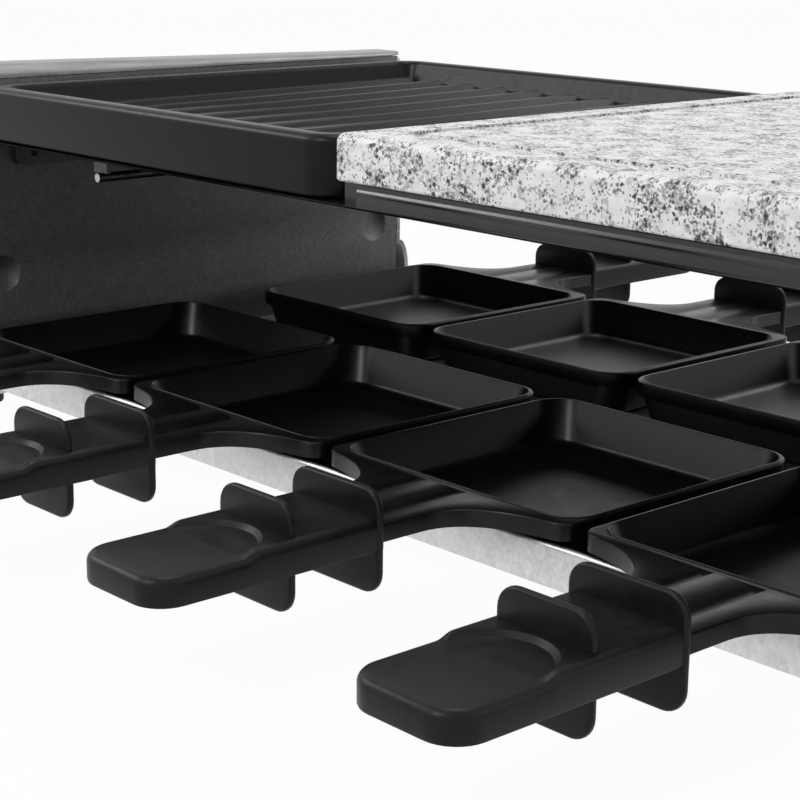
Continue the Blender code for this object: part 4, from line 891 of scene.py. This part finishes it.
# Pan handles
# Moulded black heat-proof plastic, pushed over the tang of the pan: a flat bar that steps
# down to a thumb rest, with two upright guards that keep the fingers off the hot end.
HANDLE_START = 0.0867
HANDLE_END = 0.1591
BAR_HALF = 0.0176
BAR_TOP = 0.01775
BAR_FOOT = 0.0085
BAR_ROUND = 0.0026
STEP_AT = (0.0405, 0.0457)
STEP_DROP = 0.00135
STEP_PARTS = 6
BAY_RADIUS = 0.0142
BAY_LEAN = 1.16
TIP_ROUND = 0.009
GUARDS = ((0.0, 0.018, 0.0253), (0.0268, 0.0148, 0.0266))
GUARD_THICKNESS = 0.0022
GUARD_FOOT = -0.0036
GUARD_ROUND = 0.0062
GUARD_EDGE = 0.0008
BAY_UP = 0.00005

# The grained mould gives a soft grey-black. The grain of about 0.1 mm is drawn as 0.45 mm.
handle_plastic = finish_of("moulded_heatproof_plastic", "#0f0f0f", "#151515", (0.34, 0.42), 4,
                           0.45, 0.02, Specular_IOR_Level=0.18)[0]

handle = new_cube("handle", (-BAR_HALF, -HANDLE_END, BAR_FOOT), (BAR_HALF, -HANDLE_START, BAR_TOP))
edit(handle)
step_from, step_to = (-HANDLE_START - share for share in STEP_AT)
step_cuts = [(step_from + (step_to - step_from) * i / STEP_PARTS,
              STEP_DROP * (1 - cos(pi * i / STEP_PARTS)) / 2) for i in range(STEP_PARTS + 1)]
for y, drop in step_cuts:
    cut_at(y=y)
for y, drop in step_cuts + [(-HANDLE_END, STEP_DROP)]:
    pick("VERT", lambda vert, at: at.z > BAR_TOP - HAIR and abs(at.y - y) < HAIR)
    bpy.ops.transform.translate(value=(0, 0, -drop))
pick("EDGE", lambda edge, at: along(edge, "Z") and at.y < -HANDLE_END + HAIR)
bevel(TIP_ROUND, 8)
pick("EDGE", lambda edge, at: at.z > BAR_TOP - STEP_DROP - HAIR and at.y < -HANDLE_START - HAIR
     and any(face.normal.z > 0.5 for face in edge.link_faces)
     and any(upright(face) for face in edge.link_faces))
bevel(BAR_ROUND, 5)
pick("EDGE", lambda edge, at: level(edge, BAR_FOOT) and at.y < -HANDLE_START - HAIR
     and any(upright(face) for face in edge.link_faces))
bevel(GUARD_EDGE, 2)
leave()
bay = new_cylinder("thumb_bay", "Z", (0, step_to), BAY_RADIUS, BAR_TOP - STEP_DROP + BAY_UP,
                   BAR_TOP + SHEET, 64)
edit(bay)
pick("VERT", lambda vert, at: at.z > BAR_TOP)
bpy.ops.transform.resize(value=(BAY_LEAN, BAY_LEAN, 1), center_override=(0, step_to, BAR_TOP))
leave()
combine(handle, bay, "DIFFERENCE")
for behind, half, top in GUARDS:
    guard = new_cube("guard", (-half, -HANDLE_START - behind - GUARD_THICKNESS, GUARD_FOOT),
                     (half, -HANDLE_START - behind, top))
    edit(guard)
    pick("EDGE", lambda edge, at: along(edge, "Y"))
    bevel(GUARD_ROUND, 7)
    pick("EDGE", lambda edge, at: not along(edge, "Y"))
    bevel(GUARD_EDGE, 3)
    leave()
    combine(handle, guard, "UNION")

for row, turn in (("front", 0.0), ("back", pi)):
    for number in range(1, 5):
        low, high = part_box(f"{row}_pan_{number}")
        back_edge = high.y - PAN_HALF if row == "front" else low.y + PAN_HALF
        place = (Matrix.Translation(((low.x + high.x) / 2, back_edge, low.z))
                 @ Matrix.Rotation(turn, 4, "Z"))
        body = f"pan_{row}_{number}"
        dress(copy_of(pan, f"{row}_dish_{number}", place), pan_coat, body, "nonstick_coating",
              f"{row}_pan_{number}")
        dress(copy_of(handle, f"{row}_grip_{number}", place), handle_plastic, body, "black_plastic",
              f"{row}_pan_handle_{number}")
for model in (pan, handle):
    bpy.data.objects.remove(model, do_unlink=True)

# Thermostat, lamp, cord gland and terminal block
# The knob is moulded black resin with a flat grip on a round skirt, turned on a steel
# shaft; the lamp's lens is clear red polycarbonate; the gland is black nylon.
KNOB_RADIUS = 0.018
KNOB_SKIRT = 0.004
KNOB_GRIP_HALF = 0.0042
KNOB_REACH = 0.0168
KNOB_EDGE = 0.0012
KNOB_GRIP_ROUND = 0.9 * KNOB_GRIP_HALF
BORE_RADIUS = 0.0031
BORE_DEPTH = 0.011
LENS_ROUND = 0.0013

# Polished mould walls give the knob a smoother, shinier black than the handles.
knob_resin = finish_of("phenolic_knob_resin", "#1a1a1a", "#222222", (0.3, 0.4), 5, 0.5, 0.01)[0]
# Mineral filler gives the hidden housings a chalky off-white.
housing_resin = finish_of("ceramic_filled_housing", "#c9c5ba", "#d8d4ca", (0.5, 0.6), 4, 0.6,
                          0.02)[0]
# Polycarbonate gives the unlit lamp a dark red gloss.
lamp_lens = finish_of("red_polycarbonate_lens", "#7c0d0a", "#8f120d", (0.12, 0.2), 3, 0.5, 0.002,
                      IOR=1.58)[0]


def on_face(edge, x):
    """Whether an edge lies in an upright plane across the grill."""
    return all(abs(vert.co.x - x) < HAIR for vert in edge.verts)


knob_low, knob_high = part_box("control_knob")
knob = new_cylinder("grip_knob", "X", KNOB_AT, KNOB_RADIUS, knob_low.x, knob_low.x + KNOB_SKIRT, 72)
edit(knob)
pick("EDGE", lambda edge, at: on_face(edge, knob_low.x + KNOB_SKIRT))
bevel(KNOB_EDGE, 4)
leave()
wing = new_cube("wing", (knob_low.x + SHEET, KNOB_AT[0] - KNOB_GRIP_HALF, KNOB_AT[1] - KNOB_REACH),
                (knob_high.x, KNOB_AT[0] + KNOB_GRIP_HALF, KNOB_AT[1] + KNOB_REACH))
edit(wing)
pick("EDGE", lambda edge, at: along(edge, "X"))
bevel(KNOB_GRIP_ROUND, 6)
pick("EDGE", lambda edge, at: on_face(edge, knob_high.x))
bevel(KNOB_EDGE, 4)
leave()
combine(knob, wing, "UNION")
combine(knob, new_cylinder("bore", "X", KNOB_AT, BORE_RADIUS, knob_low.x - SHEET,
                           knob_low.x + BORE_DEPTH), "DIFFERENCE")
dress(knob, knob_resin, "thermostat_control", "black_plastic", "control_knob")

lamp_low, lamp_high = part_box("pilot_lamp_lens")
lamp = new_cylinder("lamp_lens", "X", LAMP_AT, (lamp_high.y - lamp_low.y) / 2, lamp_low.x,
                    lamp_high.x, 40)
edit(lamp)
pick("EDGE", lambda edge, at: on_face(edge, lamp_high.x))
bevel(LENS_ROUND, 5)
leave()
dress(lamp, lamp_lens, "base", "lamp_lens", "pilot_lamp_lens")

for node, material in (("cord_gland", knob_resin), ("terminal_block", housing_resin),
                       ("thermostat_body", housing_resin), ("thermostat_shaft", screw_zinc)):
    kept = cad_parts[node]
    kept.data.materials.clear()
    kept.data.materials.append(material)

# Table, room, light and camera
# A plain white table in a plain white room, with soft lights overhead, left, behind, right
# and in front; the camera stands low over the right front corner.
TABLE_SIZE = 12
TABLE_SHARE = 0.96
ROOM_LIGHT = 0.33
CAMERA_AT = (0.43164, -0.46991, 0.19029)
# Turns of the camera in degrees, the last one done first.
CAMERA_TURNS = ((47.973, "Z"), (75.618, "X"), (0.536, "Z"))

bpy.ops.object.select_all(action="DESELECT")
bpy.ops.mesh.primitive_plane_add(size=TABLE_SIZE, location=(0, 0, 0))
table = settle("table_top")
# Matt white paint, almost pure white where the camera or a reflection sees it, so that the
# table keeps the shadow and still fades into the white room.
paint = bpy.data.materials.new("white_painted_table")
paint.use_nodes = True
table.data.materials.append(paint)
world = bpy.data.worlds.new("white_room")
world.use_nodes = True
bpy.context.scene.world = world


def seen_directly(tree):
    """1 for a camera, glossy or transmission ray, else 0."""
    camera_ray = add_node(tree, "LightPath", {}, "Is Camera Ray")
    rays = camera_ray.node.outputs
    either = add_node(tree, "Math", {0: camera_ray, 1: rays["Is Glossy Ray"]}, operation="MAXIMUM")
    return add_node(tree, "Math", {0: either, 1: rays["Is Transmission Ray"]},
                    operation="MAXIMUM")


tree = paint.node_tree
shader = tree.nodes["Principled BSDF"]
shader.inputs["Base Color"].default_value = linear("#f4f4f4")
shader.inputs["Roughness"].default_value = 0.9
share = add_node(tree, "Math", {0: seen_directly(tree), 1: TABLE_SHARE}, operation="MULTIPLY")
white = add_node(tree, "Emission", {"Color": linear("#ffffff"), "Strength": 1.0})
tree.links.new(add_node(tree, "MixShader", {0: share, 1: shader.outputs[0], 2: white}),
               tree.nodes["Material Output"].inputs["Surface"])
tree = world.node_tree
strength = add_node(tree, "MapRange", {"Value": seen_directly(tree), "To Min": ROOM_LIGHT,
                                       "To Max": 1.0})
tree.links.new(strength, tree.nodes["Background"].inputs["Strength"])
tree.nodes["Background"].inputs["Color"].default_value = linear("#ffffff")


def soft_light(name, place, target, size, power):
    bpy.ops.object.select_all(action="DESELECT")
    bpy.ops.object.light_add(type="AREA", location=place)
    lamp = bpy.context.object
    lamp.name = lamp.data.name = name
    lamp.data.shape = "RECTANGLE"
    lamp.data.size, lamp.data.size_y = size
    lamp.data.energy = power
    lamp.rotation_euler = (Vector(target) - Vector(place)).to_track_quat("-Z", "Y").to_euler()


soft_light("overhead_light", (-0.15, 0.1, 1.5), (0, 0, 0.1), (0.45, 0.45), 4.5)
soft_light("left_light", (-1.1, -0.75, 0.78), (0, 0, 0.1), (0.7, 0.32), 5.5)
soft_light("back_light", (0.15, 1.35, 1.2), (0, 0, 0.1), (1.1, 0.35), 5)
soft_light("side_light", (1.2, 0.5, 0.9), (0, 0, 0.05), (0.7, 0.7), 1.5)
soft_light("front_light", (-0.05, -1.3, 1.05), (0, 0, 0.1), (0.4, 0.4), 8)

bpy.ops.object.camera_add(location=CAMERA_AT)
camera = bpy.context.object
camera.data.lens = 86.977
camera.data.sensor_width = 36
camera.data.clip_start = 0.01
placed = Matrix.Translation(CAMERA_AT)
for angle, axis in CAMERA_TURNS:
    placed = placed @ Matrix.Rotation(radians(angle), 4, axis)
camera.matrix_world = placed
bpy.context.scene.camera = camera
bpy.context.scene.view_settings.view_transform = "Standard"
